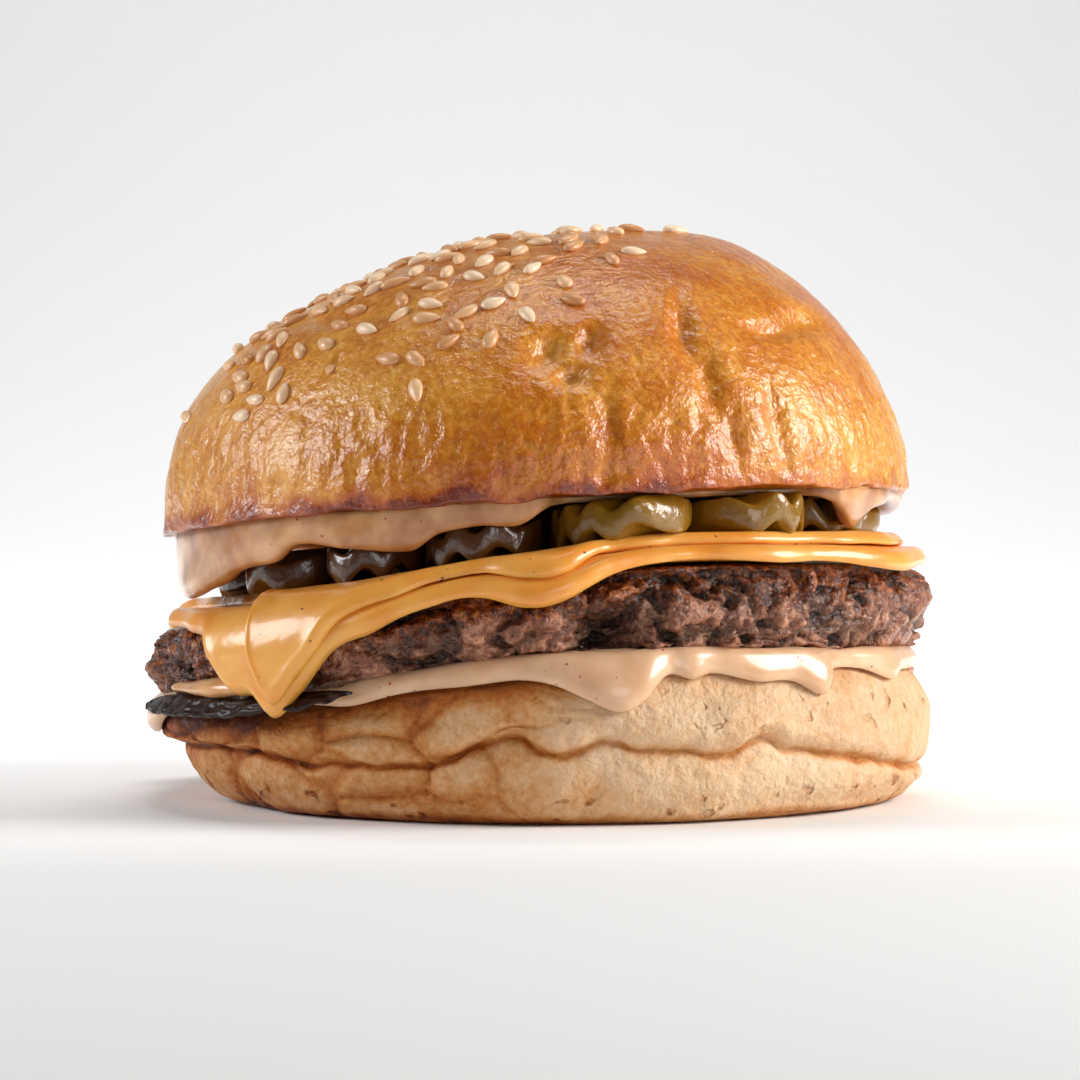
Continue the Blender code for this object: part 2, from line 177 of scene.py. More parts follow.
def skin(name, surface, segments, rings):
    """A closed mesh with points at surface(angle, turn), turn going from top to base."""
    rows = np.unique(np.concatenate(rings))
    steps = -180 + 360 / segments * np.arange(segments)
    angle, turn = (grid.ravel() for grid in np.meshgrid(steps, rows[1:-1]))
    angle = np.concatenate(([0.0], angle, [0.0]))
    turn = np.concatenate(([0.0], turn, [1.0]))
    points = np.column_stack(surface(angle, turn)) * MM
    ring = 1 + np.arange(segments)
    ahead = np.roll(ring, -1)
    last = len(points) - 1
    faces = [(0, a, b) for a, b in zip(ring, ahead)]
    for down in range(0, (len(rows) - 3) * segments, segments):
        here, next_one = ring + down, ahead + down
        faces.extend(zip(here, here + segments, next_one + segments, next_one))
    base = last - segments
    faces.extend((last, b, a) for a, b in zip(ring + base - 1, ahead + base - 1))
    mesh = bpy.data.meshes.new(name)
    mesh.from_pydata(points, [], [tuple(map(int, face)) for face in faces])
    mesh.shade_smooth()
    print(name, len(mesh.vertices), "points")
    return placed(name, mesh), angle, turn


def note(piece, name, values):
    """Keeps a number for each point, which a material reads by the name."""
    attribute = piece.data.attributes.new(name, "FLOAT", "POINT")
    attribute.data.foreach_set("value", np.asarray(values, np.float32))


def rings(*stretches):
    """Places from each (start, end, count) stretch, for skin."""
    return [np.linspace(start, end, count) for start, end, count in stretches]


# %% [markdown]
# ## The levels that the layers share
# A burger is a stack, so the top of one layer is the floor of the next. The heel falls
# towards the left, where a thumb has pressed it, and the crown is tipped up in front.
# Each level is a function of place, and a layer is worked out from the level below it,
# so nothing floats and nothing cuts through its neighbour.

# %% Sizes of the stack, in millimetres
GAP = 0.3
HEEL_RADIUS = 50.0
HEEL_WIDER_ACROSS = 2.2
HEEL_TOP = 18.1
HEEL_TILT = 0.05
HEEL_FALL = 6.2
HEEL_FLARE = 7.0
PATTY_RADIUS = 51.6
PATTY_WIDER_ACROSS = 1.6
PATTY_TOP = 29.6
PATTY_FALL = 6.8
PATTY_RISE = 0.03
CROWN_RADIUS = 49.6
CROWN_WIDER_ACROSS = 0.9
CROWN_BASE = 37.9
CROWN_HEIGHT = 38.2
CROWN_LEAN = 13.0
FRONT_LIFT = 0.055
CROWN_TILT = 0.06
SAUCE_BETWEEN = 0.9
UPPER_SAUCE = 0.6
SLICE = 1.6
FALL_STARTS = 20
FALL_RUN = 62
OUTLINE_STEPS = 9


def left_fall(x):
    """How much of the fall towards the left side has happened at x."""
    return ease(FALL_STARTS - x, 0, FALL_RUN)


def heel_top(x, y):
    return HEEL_TOP - HEEL_TILT * y - HEEL_FALL * left_fall(x) ** 1.5


def patty_bottom(x, y):
    return heel_top(x, y) + 2 * GAP + SAUCE_BETWEEN


def patty_top(x, y):
    level = PATTY_TOP - FRONT_LIFT * y + PATTY_RISE * np.maximum(x, 0)
    return level - PATTY_FALL * left_fall(x)


def cheese_top(x, y):
    return patty_top(x, y) + 2 * (GAP + SLICE)


def crown_base(x, y):
    return CROWN_BASE + CROWN_TILT * (x - y)


def offset_from(point, angle, place, distance):
    """A point this far outside a skin, as (radius, height)."""
    radius, height = point(angle, place)
    near = point(angle, np.maximum(place - 0.05, 0.0))
    far = point(angle, place + 0.05)
    run = far[0] - near[0]
    drop = near[1] - far[1]
    length = np.hypot(run, drop)
    return radius + distance * drop / length, height + distance * run / length


# %% [markdown]
# ## The heel
# The bottom half of the bun was baked touching its neighbours, so its side is pale, soft
# and torn rather than browned, and it has folded along a level crease under the weight.
# Its outline is a flat disc with a rolled edge, and the crease pulls one band of points
# in. Smooth noise gives the small hollows of the crumb. The pressed side has wrinkled
# into pillows, which a pattern of cells gives: it swells in each cell and not between.

# %% Shape of the heel
HEEL_PROFILE = (
    (0.0, 1.0), (0.55, 1.0), (0.86, 1.0), (0.955, 0.93), (1.0, 0.68),
    (1.0, 0.4), (0.96, 0.13), (0.87, 0.0), (0.5, 0.0), (0.0, 0.0),
)
HEEL_FOOT = 0.87
CREASE_PLACE = 5.0
CREASE_DEPTH = 1.9
CREASE_WIDE = 0.26
CREASE_SHARP = 0.07
PILLOW = 12.5


def heel_point(angle, place):
    """A point of the heel's smooth skin as (radius, height)."""
    share, rise = along(HEEL_PROFILE, place)
    rise = clamp(rise)
    left = bump(angle, 180, 55)
    widest = HEEL_RADIUS + HEEL_WIDER_ACROSS * squared_cosine(angle) + 0.3 * left
    radius = share * widest - HEEL_FLARE * (1 - rise) * left * ease(place, 2.0, 4.0)
    base = share / HEEL_FOOT * (HEEL_FOOT * widest - HEEL_FLARE * left)
    radius = np.where(place > 7, base, radius)
    return radius, rise * heel_top(*polar(angle, radius))


# Height of the level fold in the side of the heel, as (angle, height).
CREASE_LEVEL = (
    (-172, 7.4), (-155, 8.0), (-140, 8.2), (-131, 7.2), (-114, 7.4), (-104, 8.0), (-97, 10.8),
    (-93, 11.4), (-90, 9.4), (-86, 9.1), (-81, 10.6), (-76, 9.6), (-68, 9.2), (-61, 8.6),
    (-56, 10.6), (-51, 9.0), (-42, 8.0), (-30, 6.4), (-10, 4.8), (10, 5.6), (35, 7.8),
    (60, 9.4), (90, 8.4), (120, 9.6), (150, 8.0),
)


def pressed(x):
    """How far into the pressed left side of the heel x is."""
    return ease(-x, -14, 18)


def heel_pillows(angle, place):
    """0 in the creases between the pillows of the pressed side and 1 on top of them."""
    radius, height = heel_point(angle, place)
    x, y = polar(angle, radius)
    drift = lumps(x, y, height, 7, 5.0)
    edge = cell_edges(x + 4 * drift, y - 3 * drift, 1.3 * height + 3 * drift, PILLOW)
    return np.sqrt(clamp(edge / 0.4))


def heel_surface(angle, turn):
    """The smooth skin with hollows, the level fold and the pressed pillows."""
    place = OUTLINE_STEPS * turn
    radius, height = heel_point(angle, place)
    x, y = polar(angle, radius)
    side = ease(place, 3.0, 4.0) - ease(place, 6.4, 7.0)
    # Broad hollows, then finer and finest unevenness of the crumb.
    relief = 1.1 * np.minimum(lumps(x, y, height * 1.4, 13, 4.0), 0.25)
    relief += 0.3 * lumps(x, y, height * 1.3, 5.5, 8.0) + 0.14 * lumps(x, y, height, 2.0, 3.0)
    depth = CREASE_DEPTH * (1 - 0.4 * bump(angle, 180, 40))
    off = np.abs(place - CREASE_PLACE)
    fold = 0.5 * np.exp(-((off / CREASE_WIDE) ** 1.4)) + 0.6 * np.exp(-off / CREASE_SHARP)
    relief -= depth * fold
    relief += (0.25 + 1.15 * pressed(x)) * (heel_pillows(angle, place) - 0.85)
    level_there = heel_point(angle, np.full_like(angle, CREASE_PLACE))[1]
    shift = around(CREASE_LEVEL, angle) - level_there + 0.5 * ripple(angle, 3.2, 6.0)
    height = height + shift * hump(place, CREASE_PLACE, 0.7)
    x, y = polar(angle, radius + side * relief)
    return x, y, np.maximum(height, 0.0)


# %% Make the heel
SIDE_START = 2 / OUTLINE_STEPS
SIDE_END = 7.2 / OUTLINE_STEPS
HEEL_RINGS = rings((0, SIDE_START, 10), (SIDE_START, SIDE_END, 128), (SIDE_END, 1, 8))
heel, heel_angle, heel_turn = skin("heel_crumb", heel_surface, 640, HEEL_RINGS)


# %% [markdown]
# ## The patty
# Minced beef, pressed on a hot plate: dark and crusted on top, grey and pink at the
# side, with grains of mince standing proud and deep clefts between them. The skin starts
# from the plain disc, and is cut in where the cells of a pattern meet. Cells of two sizes
# leave round-topped lumps with sharp clefts, as mince has, and the finer grains come
# later from a pattern of the same kind. At the left the burnt fat has run out.

# %% Shape of the patty
PATTY_PROFILE = (
    (0.0, 1.0), (0.5, 1.0), (0.8, 1.0), (0.93, 0.96), (0.99, 0.74),
    (1.0, 0.45), (0.975, 0.17), (0.9, 0.0), (0.5, 0.0), (0.0, 0.0),
)
LUMP = 9.5
SMALL_LUMP = 4.6
CRAG = 4.4
HOLLOW_ANGLE = -80
HOLLOW_DEPTH = 5.0
# How far the lower slice of cheese reaches from the middle, as (angle, distance).
LOWER_SLICE_REACH = (
    (-174, 46), (-165, 50), (-158, 52), (-150, 52), (-144, 53), (-139.5, 56.5),
    (-135.5, 60), (-132, 60.5), (-128.5, 63), (-124.5, 60.5), (-119, 55.5),
    (-113, 53.5), (-105, 51.6), (-98, 51.6), (-92, 53.2), (-86, 53), (-80, 50.8),
    (-73, 49.4), (-65, 49), (-57, 50.4), (-46, 50.6), (-36, 52), (-27, 53),
    (-17, 52), (-6, 51.5), (8, 48), (30, 45), (44, 50), (56, 59), (68, 53),
    (84, 50), (108, 47), (130, 45), (155, 46),
)


def patty_point(angle, place):
    """A point of the patty's outer envelope as (radius, height)."""
    share, rise = along(PATTY_PROFILE, place)
    radius = share * (PATTY_RADIUS + PATTY_WIDER_ACROSS * squared_cosine(angle))
    x, y = polar(angle, radius)
    low = patty_bottom(x, y)
    return radius, low + clamp(rise) * (patty_top(x, y) - low)


def lace_share(angle):
    return ease(angle, -168, -158) - ease(angle, -122, -112)


def meat_relief(angle, place):
    """How proud the meat stands: 0 in the clefts and 1 on top of the lumps."""
    radius, height = patty_point(angle, place)
    x, y = polar(angle, radius)
    drift = lumps(x, y, height, 5.0, 9.0)
    twist = lumps(x, y, height, 3.5, 2.0)
    where = (x + 3 * drift, y - 3 * twist, 0.8 * height + 2 * drift)
    large = np.sqrt(clamp(cell_edges(*where, LUMP) / 0.5))
    small = np.sqrt(clamp(cell_edges(*where, SMALL_LUMP) / 0.6))
    return 0.66 * large + 0.34 * small


def hollow(angle, place, tall):
    """The hollow in the front of the patty, which is also painted black as shade."""
    return bump(angle, HOLLOW_ANGLE, 6) * hump(place, 5.7, tall)


def patty_surface(angle, turn):
    """The envelope, cut in between the lumps, and out again over the burnt foot."""
    place = OUTLINE_STEPS * turn
    radius, height = patty_point(angle, place)
    x, y = polar(angle, radius)
    side = ease(place, 2.9, 3.6) - ease(place, 6.6, 7.3)
    proud = meat_relief(angle, place) + 0.25 * lumps(x, y, height, 12, 1.0)
    under_cheese = ease(around(LOWER_SLICE_REACH, angle), 52.0, 57.0)
    crag = CRAG * (0.95 - proud) * (1 - 0.5 * under_cheese)
    radius = radius - side * (crag + HOLLOW_DEPTH * hollow(angle, place, 0.9))
    radius += 3.0 * lace_share(angle) * hump(place, 6.6, 0.45)
    x, y = polar(angle, radius)
    return x, y, height


# %% Make the patty's core
SIDE_START = 2.5 / OUTLINE_STEPS
SIDE_END = 7.4 / OUTLINE_STEPS
PATTY_RINGS = rings((0, SIDE_START, 10), (SIDE_START, SIDE_END, 110), (SIDE_END, 1, 8))
patty, patty_angle, patty_turn = skin("patty_crust", patty_surface, 700, PATTY_RINGS)


# %% [markdown]
# ## The cheese
# Two square slices, laid one over the other with their corners apart, softened by the
# heat until they follow the patty over its edge. A slice is described by how far it
# reaches at each angle, and every point of it is found by walking that far over the
# patty. That is what a soft slice does, and it keeps an even thickness round the bend.

# %% Shape of a slice
UPPER_SLICE_REACH = (
    (-172, 43), (-157, 42.5), (-146, 43), (-138, 45), (-132.5, 52), (-127.5, 61.5),
    (-123, 57.5), (-117.5, 53), (-111, 51.4), (-104, 49.6), (-98, 49.4), (-92, 51),
    (-86, 50.8), (-80, 48.6), (-73, 47.2), (-65, 46.8), (-57, 48.2), (-46, 48.4),
    (-36, 49.8), (-27, 50.4), (-17, 49.5), (-6, 48.5), (12, 44), (36, 46), (50, 52),
    (62, 58), (76, 52), (96, 45), (118, 44), (134, 49), (150, 58), (166, 49),
)
EDGE_BEND = 4.0
MELTED = 0.2


def slice_point(angle, distance, lift):
    """A point this far out over the patty, round its edge, and this high above it."""
    start = PATTY_RADIUS + PATTY_WIDER_ACROSS * squared_cosine(angle) + GAP - EDGE_BEND
    flat = np.minimum(distance, start)
    turned = clamp((distance - start) / EDGE_BEND, 0.0, np.pi / 2)
    hanging = np.maximum(distance - start - EDGE_BEND * np.pi / 2, 0.0)
    level = patty_top(*polar(angle, flat)) - EDGE_BEND
    x, y = polar(angle, flat + (EDGE_BEND + lift) * np.sin(turned))
    return x, y, level + (EDGE_BEND + lift) * np.cos(turned) - hanging


def slice_surface(angle, turn, reaches, below):
    """One slice, lying on this many others, with a thicker rounded edge."""
    inwards = 1 - 2 * np.minimum(turn, 1 - turn)
    share = np.where(inwards < 0.25, 1 - 1.2 * inwards, 0.7 * (1 - inwards) / 0.75)
    reach = around(reaches, angle) + 0.6 * ripple(angle, 6, 8.0 + below)
    distance = reach * share
    lift = GAP + below * (GAP + SLICE)
    lift = lift + 0.15 * lumps(*polar(angle, distance), 0 * angle, 8, 3.0)
    thick = SLICE + MELTED * hump(share, 0.975, 0.018) + 0.8 * GAP * (1 - below)
    rounded = thick * np.sqrt(1 - clamp((share - 0.97) / 0.03) ** 2)
    lift += np.where(turn < 0.5, rounded, 0.3 * (thick - rounded))
    return slice_point(angle, distance, lift)


# %% Make both slices
SLICE_RINGS = rings((0, 0.375, 12), (0.375, 0.5, 46), (0.5, 0.625, 30), (0.625, 1, 10))
slices = [
    skin(name, lambda a, t: slice_surface(a, t, reaches, below), 620, SLICE_RINGS)[0]
    for name, reaches, below in (
        ("slice_below", LOWER_SLICE_REACH, 0),
        ("slice_above", UPPER_SLICE_REACH, 1),
    )
]


# %% [markdown]
# ## The sauce
# A creamy sauce, thick enough to hold a rounded edge and thin enough to run. On the heel
# it has been pressed out by the patty into lobes, and under the crown it clings to the
# bread and lets go in heavy drops. Each drop is one hump at its own angle, so that its
# length and width can be set against what is seen.

# %% Shape of the sauce on the heel and of the sauce under the crown
# How far the sauce runs down the heel, and hangs from the crown, as (angle, drop).
LOWER_RUN = (
    (-178, 3.0), (-171, 3.0), (-162, 0.4), (-140, 0.2), (-127, 0.5), (-119, 1.7),
    (-110, 1.1), (-101, 1.6), (-93, 1.7), (-88, 2.8), (-83, 4.8), (-79, 6.1),
    (-75.5, 5.2), (-71, 2.1), (-67.5, 2.7), (-64, 1.9), (-57, 3.0), (-51, 2.9),
    (-45.5, 4.5), (-41, 1.4), (-35, 1.2), (-27, 2.8), (-20, 1.6), (0, 1.6), (20, 4.0),
    (38, 2.0), (57, 6.0), (72, 2.2), (96, 3.6), (112, 2.0), (130, 5.6), (145, 2.2),
    (160, 3.0),
)
UPPER_HANG = (
    (-172, 8.0), (-161, 8.2), (-151, 7.0), (-143, 5.4), (-135, 4.9), (-130, 3.0),
    (-121, 4.0), (-110, 4.9), (-105.5, 3.0), (-99, 2.4), (-93, 2.6), (-88, 0.3),
    (-80, 0.0), (-60, 0.0), (-45, 0.0), (-39, 0.8), (-32, 4.6), (-26, 2.2), (-12, 0.8),
    (12, 2.2), (30, 1.0), (47, 3.0), (62, 1.2), (84, 2.8), (104, 1.0), (121, 4.4),
    (136, 1.4), (150, 3.0), (166, 4.6),
)
CLINGS = 0.1


def upper_hang(angle):
    return np.maximum(around(UPPER_HANG, angle), 0.0)


def drawn_back(angle):
    """1 where the upper sauce has drawn back from the rim and lets the pickles show."""
    return 1 - ease(upper_hang(angle), 0.0, 0.6)


def lower_sauce_surface(angle, turn):
    """Over the heel, round a beaded end, and back along the bread."""
    hang = around(LOWER_RUN, angle)
    share = 1 - hang / heel_top(*polar(angle, HEEL_RADIUS))
    end = 3.0 + (0.93 - share) / 0.25
    place = end * np.sin(np.pi * turn)
    clear = GAP + 0.35 * ease(place, 1.9, 2.6)
    thick = SAUCE_BETWEEN + 1.1 * ease(place, 2.3, 3.0) - (clear - GAP) * 0.5
    thick = thick + 0.9 * hump(place, 2.6, 0.4) + 0.35 * ripple(angle, 7, 3.0, 2 * place)
    bead = np.sqrt(1 - clamp((place - end + 0.7) / 0.7) ** 2)
    above = np.where(turn > 0.5, 0.0, thick * bead)
    radius, height = offset_from(heel_point, angle, place, clear + above)
    x, y = polar(angle, radius)
    return x, y, height


def upper_sauce_surface(angle, turn):
    """Flat against the crown, round a hanging lip, and back over the pickles."""
    hang = upper_hang(angle)
    edge = CROWN_RADIUS + CROWN_WIDER_ACROSS * squared_cosine(angle) - 3.0
    edge = edge + 1.4 * ease(hang, 0.6, 1.6) - 4.0 * drawn_back(angle)
    half = 0.5 + 0.32 * hang
    round_lip = np.pi * clamp((turn - 0.5) / 0.1)
    lip = edge - half + half * np.cos(round_lip) + 0.16 * hang * np.sin(round_lip) ** 2
    inner = (edge - 2 * half) * (1 - clamp((turn - 0.6) / 0.4))
    radius = np.where(turn < 0.5, edge * turn / 0.5, np.where(turn < 0.6, lip, inner))
    x, y = polar(angle, radius)
    top = crown_base(x, y) + CLINGS
    middle = 1 - ease(radius, 19.0, 24.0)
    under = UPPER_SAUCE + middle * (top - UPPER_SAUCE - cheese_top(x, y) - GAP)
    falls = np.sin(round_lip) ** 0.8
    drop = hang * falls + np.where(round_lip < np.pi / 2, falls, 1.0) * under
    height = top - np.where(turn < 0.5, 0.0, drop)
    swell = 0.9 * lumps(x, y, height, 7, 4.0) * np.sin(round_lip) * ease(hang, 1.0, 4.0)
    return *polar(angle, radius + swell), height


# %% Make both runs of sauce
SAUCE_RINGS = rings((0, 0.3, 10), (0.3, 0.5, 50), (0.5, 0.6, 30), (0.6, 1, 10))
sauce_on_heel, *_ = skin("sauce_on_heel", lower_sauce_surface, 620, SAUCE_RINGS)
LIP_RINGS = rings((0, 0.5, 12), (0.5, 0.6, 48), (0.6, 1, 12))
sauce_under_crown, *_ = skin("sauce_under_crown", upper_sauce_surface, 620, LIP_RINGS)


# %% [markdown]
# ## The crown
# The top half of the bun rose in the oven and leans to the right. Its skin was brushed
# with egg, so it is glossy, and it is dented where a hand has held it. The outline is a
# quarter of a circle that leans more and more towards the top, with a short rolled rim
# that the hot plate has toasted. Dents and folds are taken off it one by one.

# %% Shape of the crown
# Dents as (angle, place, width in degrees, width in place, depth).
CROWN_DENTS = (
    (-89, 0.64, 3.4, 0.05, 2.0), (-82, 0.62, 2.4, 0.05, 1.7), (-84.5, 0.71, 2.6, 0.03, 2.0),
    (-64.5, 0.6, 2.2, 0.09, 1.5), (-61.5, 0.74, 2.4, 0.09, 1.6), (-59, 0.87, 1.8, 0.06, 0.9),
    (-44, 0.59, 6, 0.025, 1.5), (-33, 0.56, 7, 0.035, 1.3), (-51, 0.86, 1.6, 0.08, 1.1),
    (-79, 0.85, 2.2, 0.1, 0.9), (-138, 0.52, 24, 0.03, 0.9), (-128, 0.66, 0.9, 0.03, 0.9),
    (96, 0.7, 5, 0.1, 1.4), (40, 0.6, 8, 0.05, 1.1), (150, 0.74, 4, 0.1, 1.0),
)
RIM_TURN = 0.72
CROWN_SHIFT = 0.7
RIM_ROUNDING = 0.5


def crown_point(angle, place):
    """A point of the crown's smooth skin. Place 0 is its top, 1 its rim, 2 its base."""
    widest = CROWN_RADIUS + CROWN_WIDER_ACROSS * squared_cosine(angle)
    lean = np.pi / 2 * (1 - np.minimum(place, 1.0))
    level = np.sin(lean)
    radius = widest * np.where(place <= 1, np.cos(lean), 2 - place)
    base = crown_base(*polar(angle, radius))
    height = base + (CROWN_BASE - base) * level + CROWN_HEIGHT * level
    edge = ease(place, 0.88, 0.97) - ease(place, 1.0, 1.06)
    x, y = polar(angle, radius - RIM_ROUNDING * edge)
    return np.column_stack((x - CROWN_SHIFT + CROWN_LEAN * level**4, y, height))


def crown_relief(angle, place, x, y, z):
    """Broad lumps, the dents, and upright wrinkles that deepen towards the rim."""
    relief = 0.9 * lumps(x, y, z, 24, 1.0) + 0.35 * lumps(x, y, z, 9, 6.0)
    for at, level, wide, tall, depth in CROWN_DENTS:
        relief -= depth * bump(angle, at, wide) * hump(place, level, tall)
    low = ease(place, 0.62, 0.86)
    creases = lumps(x * 1.9, y * 1.9, z * 0.28, 4.2, 2.0)
    relief -= 0.55 * low * np.maximum(np.abs(creases) * -3.2 + 0.55, 0.0)
    relief += 0.22 * low * lumps(x * 1.6, y * 1.6, z * 0.4, 3.0, 7.0)
    relief += 0.05 * lumps(x, y, z, 1.5, 4.0)
    return relief * (1 - ease(place, 0.95, 1.0)) * ease(place, 0.0, 0.15)


def place_of(turn):
    """Place on the crown: 0 its top, 1 its rim, 2 the middle of its base."""
    below = 1 + (turn - RIM_TURN) / (1 - RIM_TURN)
    return np.where(turn < RIM_TURN, turn / RIM_TURN, below)


def crown_surface(angle, turn):
    place = place_of(turn)
    point = crown_point(angle, place)
    outwards = point - (0.0, 0.0, CROWN_BASE)
    outwards /= np.linalg.norm(outwards, axis=1)[:, None]
    relief = crown_relief(angle, place, *point.T)
    rim = hump(place, 1.0, 0.05)
    relief += rim * (0.5 * lumps(*point.T, 5, 8.0) + 0.25 * lumps(*point.T, 1.8, 3.0))
    point = point + outwards * relief[:, None]
    point[:, 2] += rim * (0.7 * lumps(*point.T, 7, 5.0) + 0.3 * lumps(*point.T, 2.2, 1.0))
    return point.T


# %% Make the crown
CROWN_RINGS = rings((0, 0.6, 120), (0.6, 0.76, 50), (0.76, 1, 16))
crown, _, crown_turn = skin("crown_skin", crown_surface, 500, CROWN_RINGS)


# %% [markdown]
# ## Node trees, written down
# Geometry Nodes make what repeats, and shader nodes make the finishes. Both kinds of
# tree are wired by the same small helpers: `add` makes one node and links or sets its
# sockets, and `calc`, `total` and `times` are sums. `grow` runs a tree on a piece and
# keeps the plain mesh that comes out, so nothing depends on the tree afterwards.

# %% Helpers that wire a node tree
def add(tree, kind, sockets=(), **settings):
    """One node: settings are its own, and sockets are filled with values or links."""
    node = tree.nodes.new(kind)
    for name, value in settings.items():
        setattr(node, name, value)
    for socket, value in dict(sockets).items():
        if isinstance(value, bpy.types.NodeSocket):
            tree.links.new(value, node.inputs[socket])
        else:
            node.inputs[socket].default_value = value
    return node


def calc(tree, operation, *values):
    """One sum on numbers."""
    return add(tree, "ShaderNodeMath", enumerate(values), operation=operation).outputs[0]


def total(tree, first, *others):
    """Numbers added up."""
    for other in others:
        first = calc(tree, "ADD", first, other)
    return first


def times(tree, first, *others):
    """Numbers multiplied."""
    for other in others:
        first = calc(tree, "MULTIPLY", first, other)
    return first


def shift(tree, operation, *values):
    """One sum on vectors. The last socket of a SCALE is its factor."""
    sockets = dict(enumerate(values))
    if operation == "SCALE":
        sockets = {0: values[0], "Scale": values[1]}
    return add(tree, "ShaderNodeVectorMath", sockets, operation=operation).outputs[0]


def xyz(tree, x, y, z=0.0):
    return add(tree, "ShaderNodeCombineXYZ", {0: x, 1: y, 2: z}).outputs[0]


# %% Helpers for shape trees
def position(tree):
    return add(tree, "GeometryNodeInputPosition").outputs[0]


def read(tree, name, kind="FLOAT"):
    """A note on the points, read by a shape tree."""
    node = add(tree, "GeometryNodeInputNamedAttribute", {"Name": name}, data_type=kind)
    return node.outputs[0]


def store(tree, geometry, name, value):
    sockets = {0: geometry, "Name": name, "Value": value}
    return add(tree, "GeometryNodeStoreNamedAttribute", sockets, data_type="FLOAT").outputs[0]


def move(tree, geometry, **how):
    """Points put at a Position, or moved by an Offset."""
    return add(tree, "GeometryNodeSetPosition", {0: geometry, **how}).outputs[0]


def draw(tree, low, high, seed):
    """Three random numbers for each point."""
    sockets = {0: low, 1: high, "Seed": seed}
    return add(tree, "FunctionNodeRandomValue", sockets, data_type="FLOAT_VECTOR").outputs[0]


def new_shape_tree(name, **sizes):
    """A Geometry Nodes tree with a geometry in and out and named numbers in."""
    tree = bpy.data.node_groups.new(name, "GeometryNodeTree")
    tree.interface.new_socket("Geometry", in_out="OUTPUT", socket_type="NodeSocketGeometry")
    tree.interface.new_socket("Geometry", in_out="INPUT", socket_type="NodeSocketGeometry")
    for size, value in sizes.items():
        kind = "NodeSocketInt" if isinstance(value, int) else "NodeSocketFloat"
        socket = tree.interface.new_socket(size, in_out="INPUT", socket_type=kind)
        socket.default_value = value
    tree.interface.new_socket("Material", in_out="INPUT", socket_type="NodeSocketMaterial")
    source = tree.nodes.new("NodeGroupInput")
    return tree, source.outputs


def end_tree(tree, geometry, material):
    """Makes the copies real, gives them their finish and sends them out."""
    real = add(tree, "GeometryNodeRealizeInstances", {0: geometry}).outputs[0]
    dressed = add(tree, "GeometryNodeSetMaterial", {0: real, "Material": material})
    add(tree, "NodeGroupOutput", {0: dressed.outputs[0]})
    return tree


def grow(piece, tree, **values):
    """Runs a tree on a piece, which keeps the plain mesh that comes out."""
    modifier = piece.modifiers.new(tree.name, "NODES")
    modifier.node_group = tree
    for item in tree.interface.items_tree:
        if item.in_out == "INPUT" and item.name in values:
            modifier[item.identifier] = values[item.name]
    bpy.context.view_layer.update()
    graph = bpy.context.evaluated_depsgraph_get()
    made = bpy.data.meshes.new_from_object(
        piece.evaluated_get(graph), preserve_all_data_layers=True, depsgraph=graph
    )
    piece.modifiers.remove(modifier)
    piece.data = made
    print(piece.name, len(made.polygons), "faces from", tree.name)
    return piece


# %% Helpers for finishes
def tint(red, green, blue):
    """A colour, given 0 to 255, as the linear numbers that shaders want."""
    return tuple(((part / 255 + 0.055) / 1.055) ** 2.4 for part in (red, green, blue)) + (1.0,)


def new_finish(name, **constants):
    """A material whose constant sockets are set on the shader itself."""
    finish = bpy.data.materials.new(name)
    finish.use_nodes = True
    shader = finish.node_tree.nodes["Principled BSDF"]
    for socket, value in constants.items():
        shader.inputs[socket.replace("_", " ")].default_value = value
    return finish, finish.node_tree, shader


def cloud(tree, size, detail=3.0, rough=0.5):
    """Soft noise with features of about this many millimetres."""
    place = add(tree, "ShaderNodeTexCoord").outputs["Object"]
    scale = [1000 / size] * 3
    where = add(tree, "ShaderNodeMapping", {"Vector": place, "Scale": scale}).outputs[0]
    sockets = {"Vector": where, "Scale": 1.0, "Detail": detail, "Roughness": rough}
    return add(tree, "ShaderNodeTexNoise", sockets).outputs["Fac"]


def noted(tree, name):
    """A note on the points, read by a finish."""
    return add(tree, "ShaderNodeAttribute", attribute_name=name).outputs["Fac"]


def clouds(tree, *layers):
    """Noise round 0, added up from (strength, size, detail, roughness) layers."""
    parts = [
        times(tree, calc(tree, "SUBTRACT", cloud(tree, *layer), 0.5), strength)
        for strength, *layer in layers
    ]
    return total(tree, *parts)


def steps(tree, value, *stops):
    """A colour ramp through (place, red, green, blue) stops."""
    node = add(tree, "ShaderNodeValToRGB", {0: value})
    ramp = node.color_ramp.elements
    while len(ramp) < len(stops):
        ramp.new(0.5)
    for element, (place, *colour) in zip(ramp, stops):
        element.position = place
        element.color = tint(*colour)
    return node.outputs["Color"]


def level(tree, value, low, high, to_low=0.0, to_high=1.0):
    """Stretches a number from one range to another and holds it there."""
    sockets = {0: value, 1: low, 2: high, 3: to_low, 4: to_high}
    return add(tree, "ShaderNodeMapRange", sockets).outputs[0]


def drifting(tree, size, low, high):
    """A number that drifts between two values over the surface."""
    return level(tree, cloud(tree, size), 0.3, 0.7, low, high)


def blend(tree, share, first, second, mode="MIX"):
    sockets = {0: share, 6: first, 7: second}
    node = add(tree, "ShaderNodeMix", sockets, data_type="RGBA", blend_type=mode)
    return node.outputs[2]


def raised(tree, shader, height, distance, strength=1.0):
    """Bump from a height, in millimetres."""
    sockets = {"Height": height, "Distance": distance * MM, "Strength": strength}
    bumped = add(tree, "ShaderNodeBump", sockets).outputs[0]
    for socket in ("Normal", "Coat Normal"):
        tree.links.new(bumped, shader.inputs[socket])


def paint(tree, shader, **links):
    """Links what varies over the surface to the shader."""
    for socket, value in links.items():
        tree.links.new(value, shader.inputs[socket.replace("_", " ")])


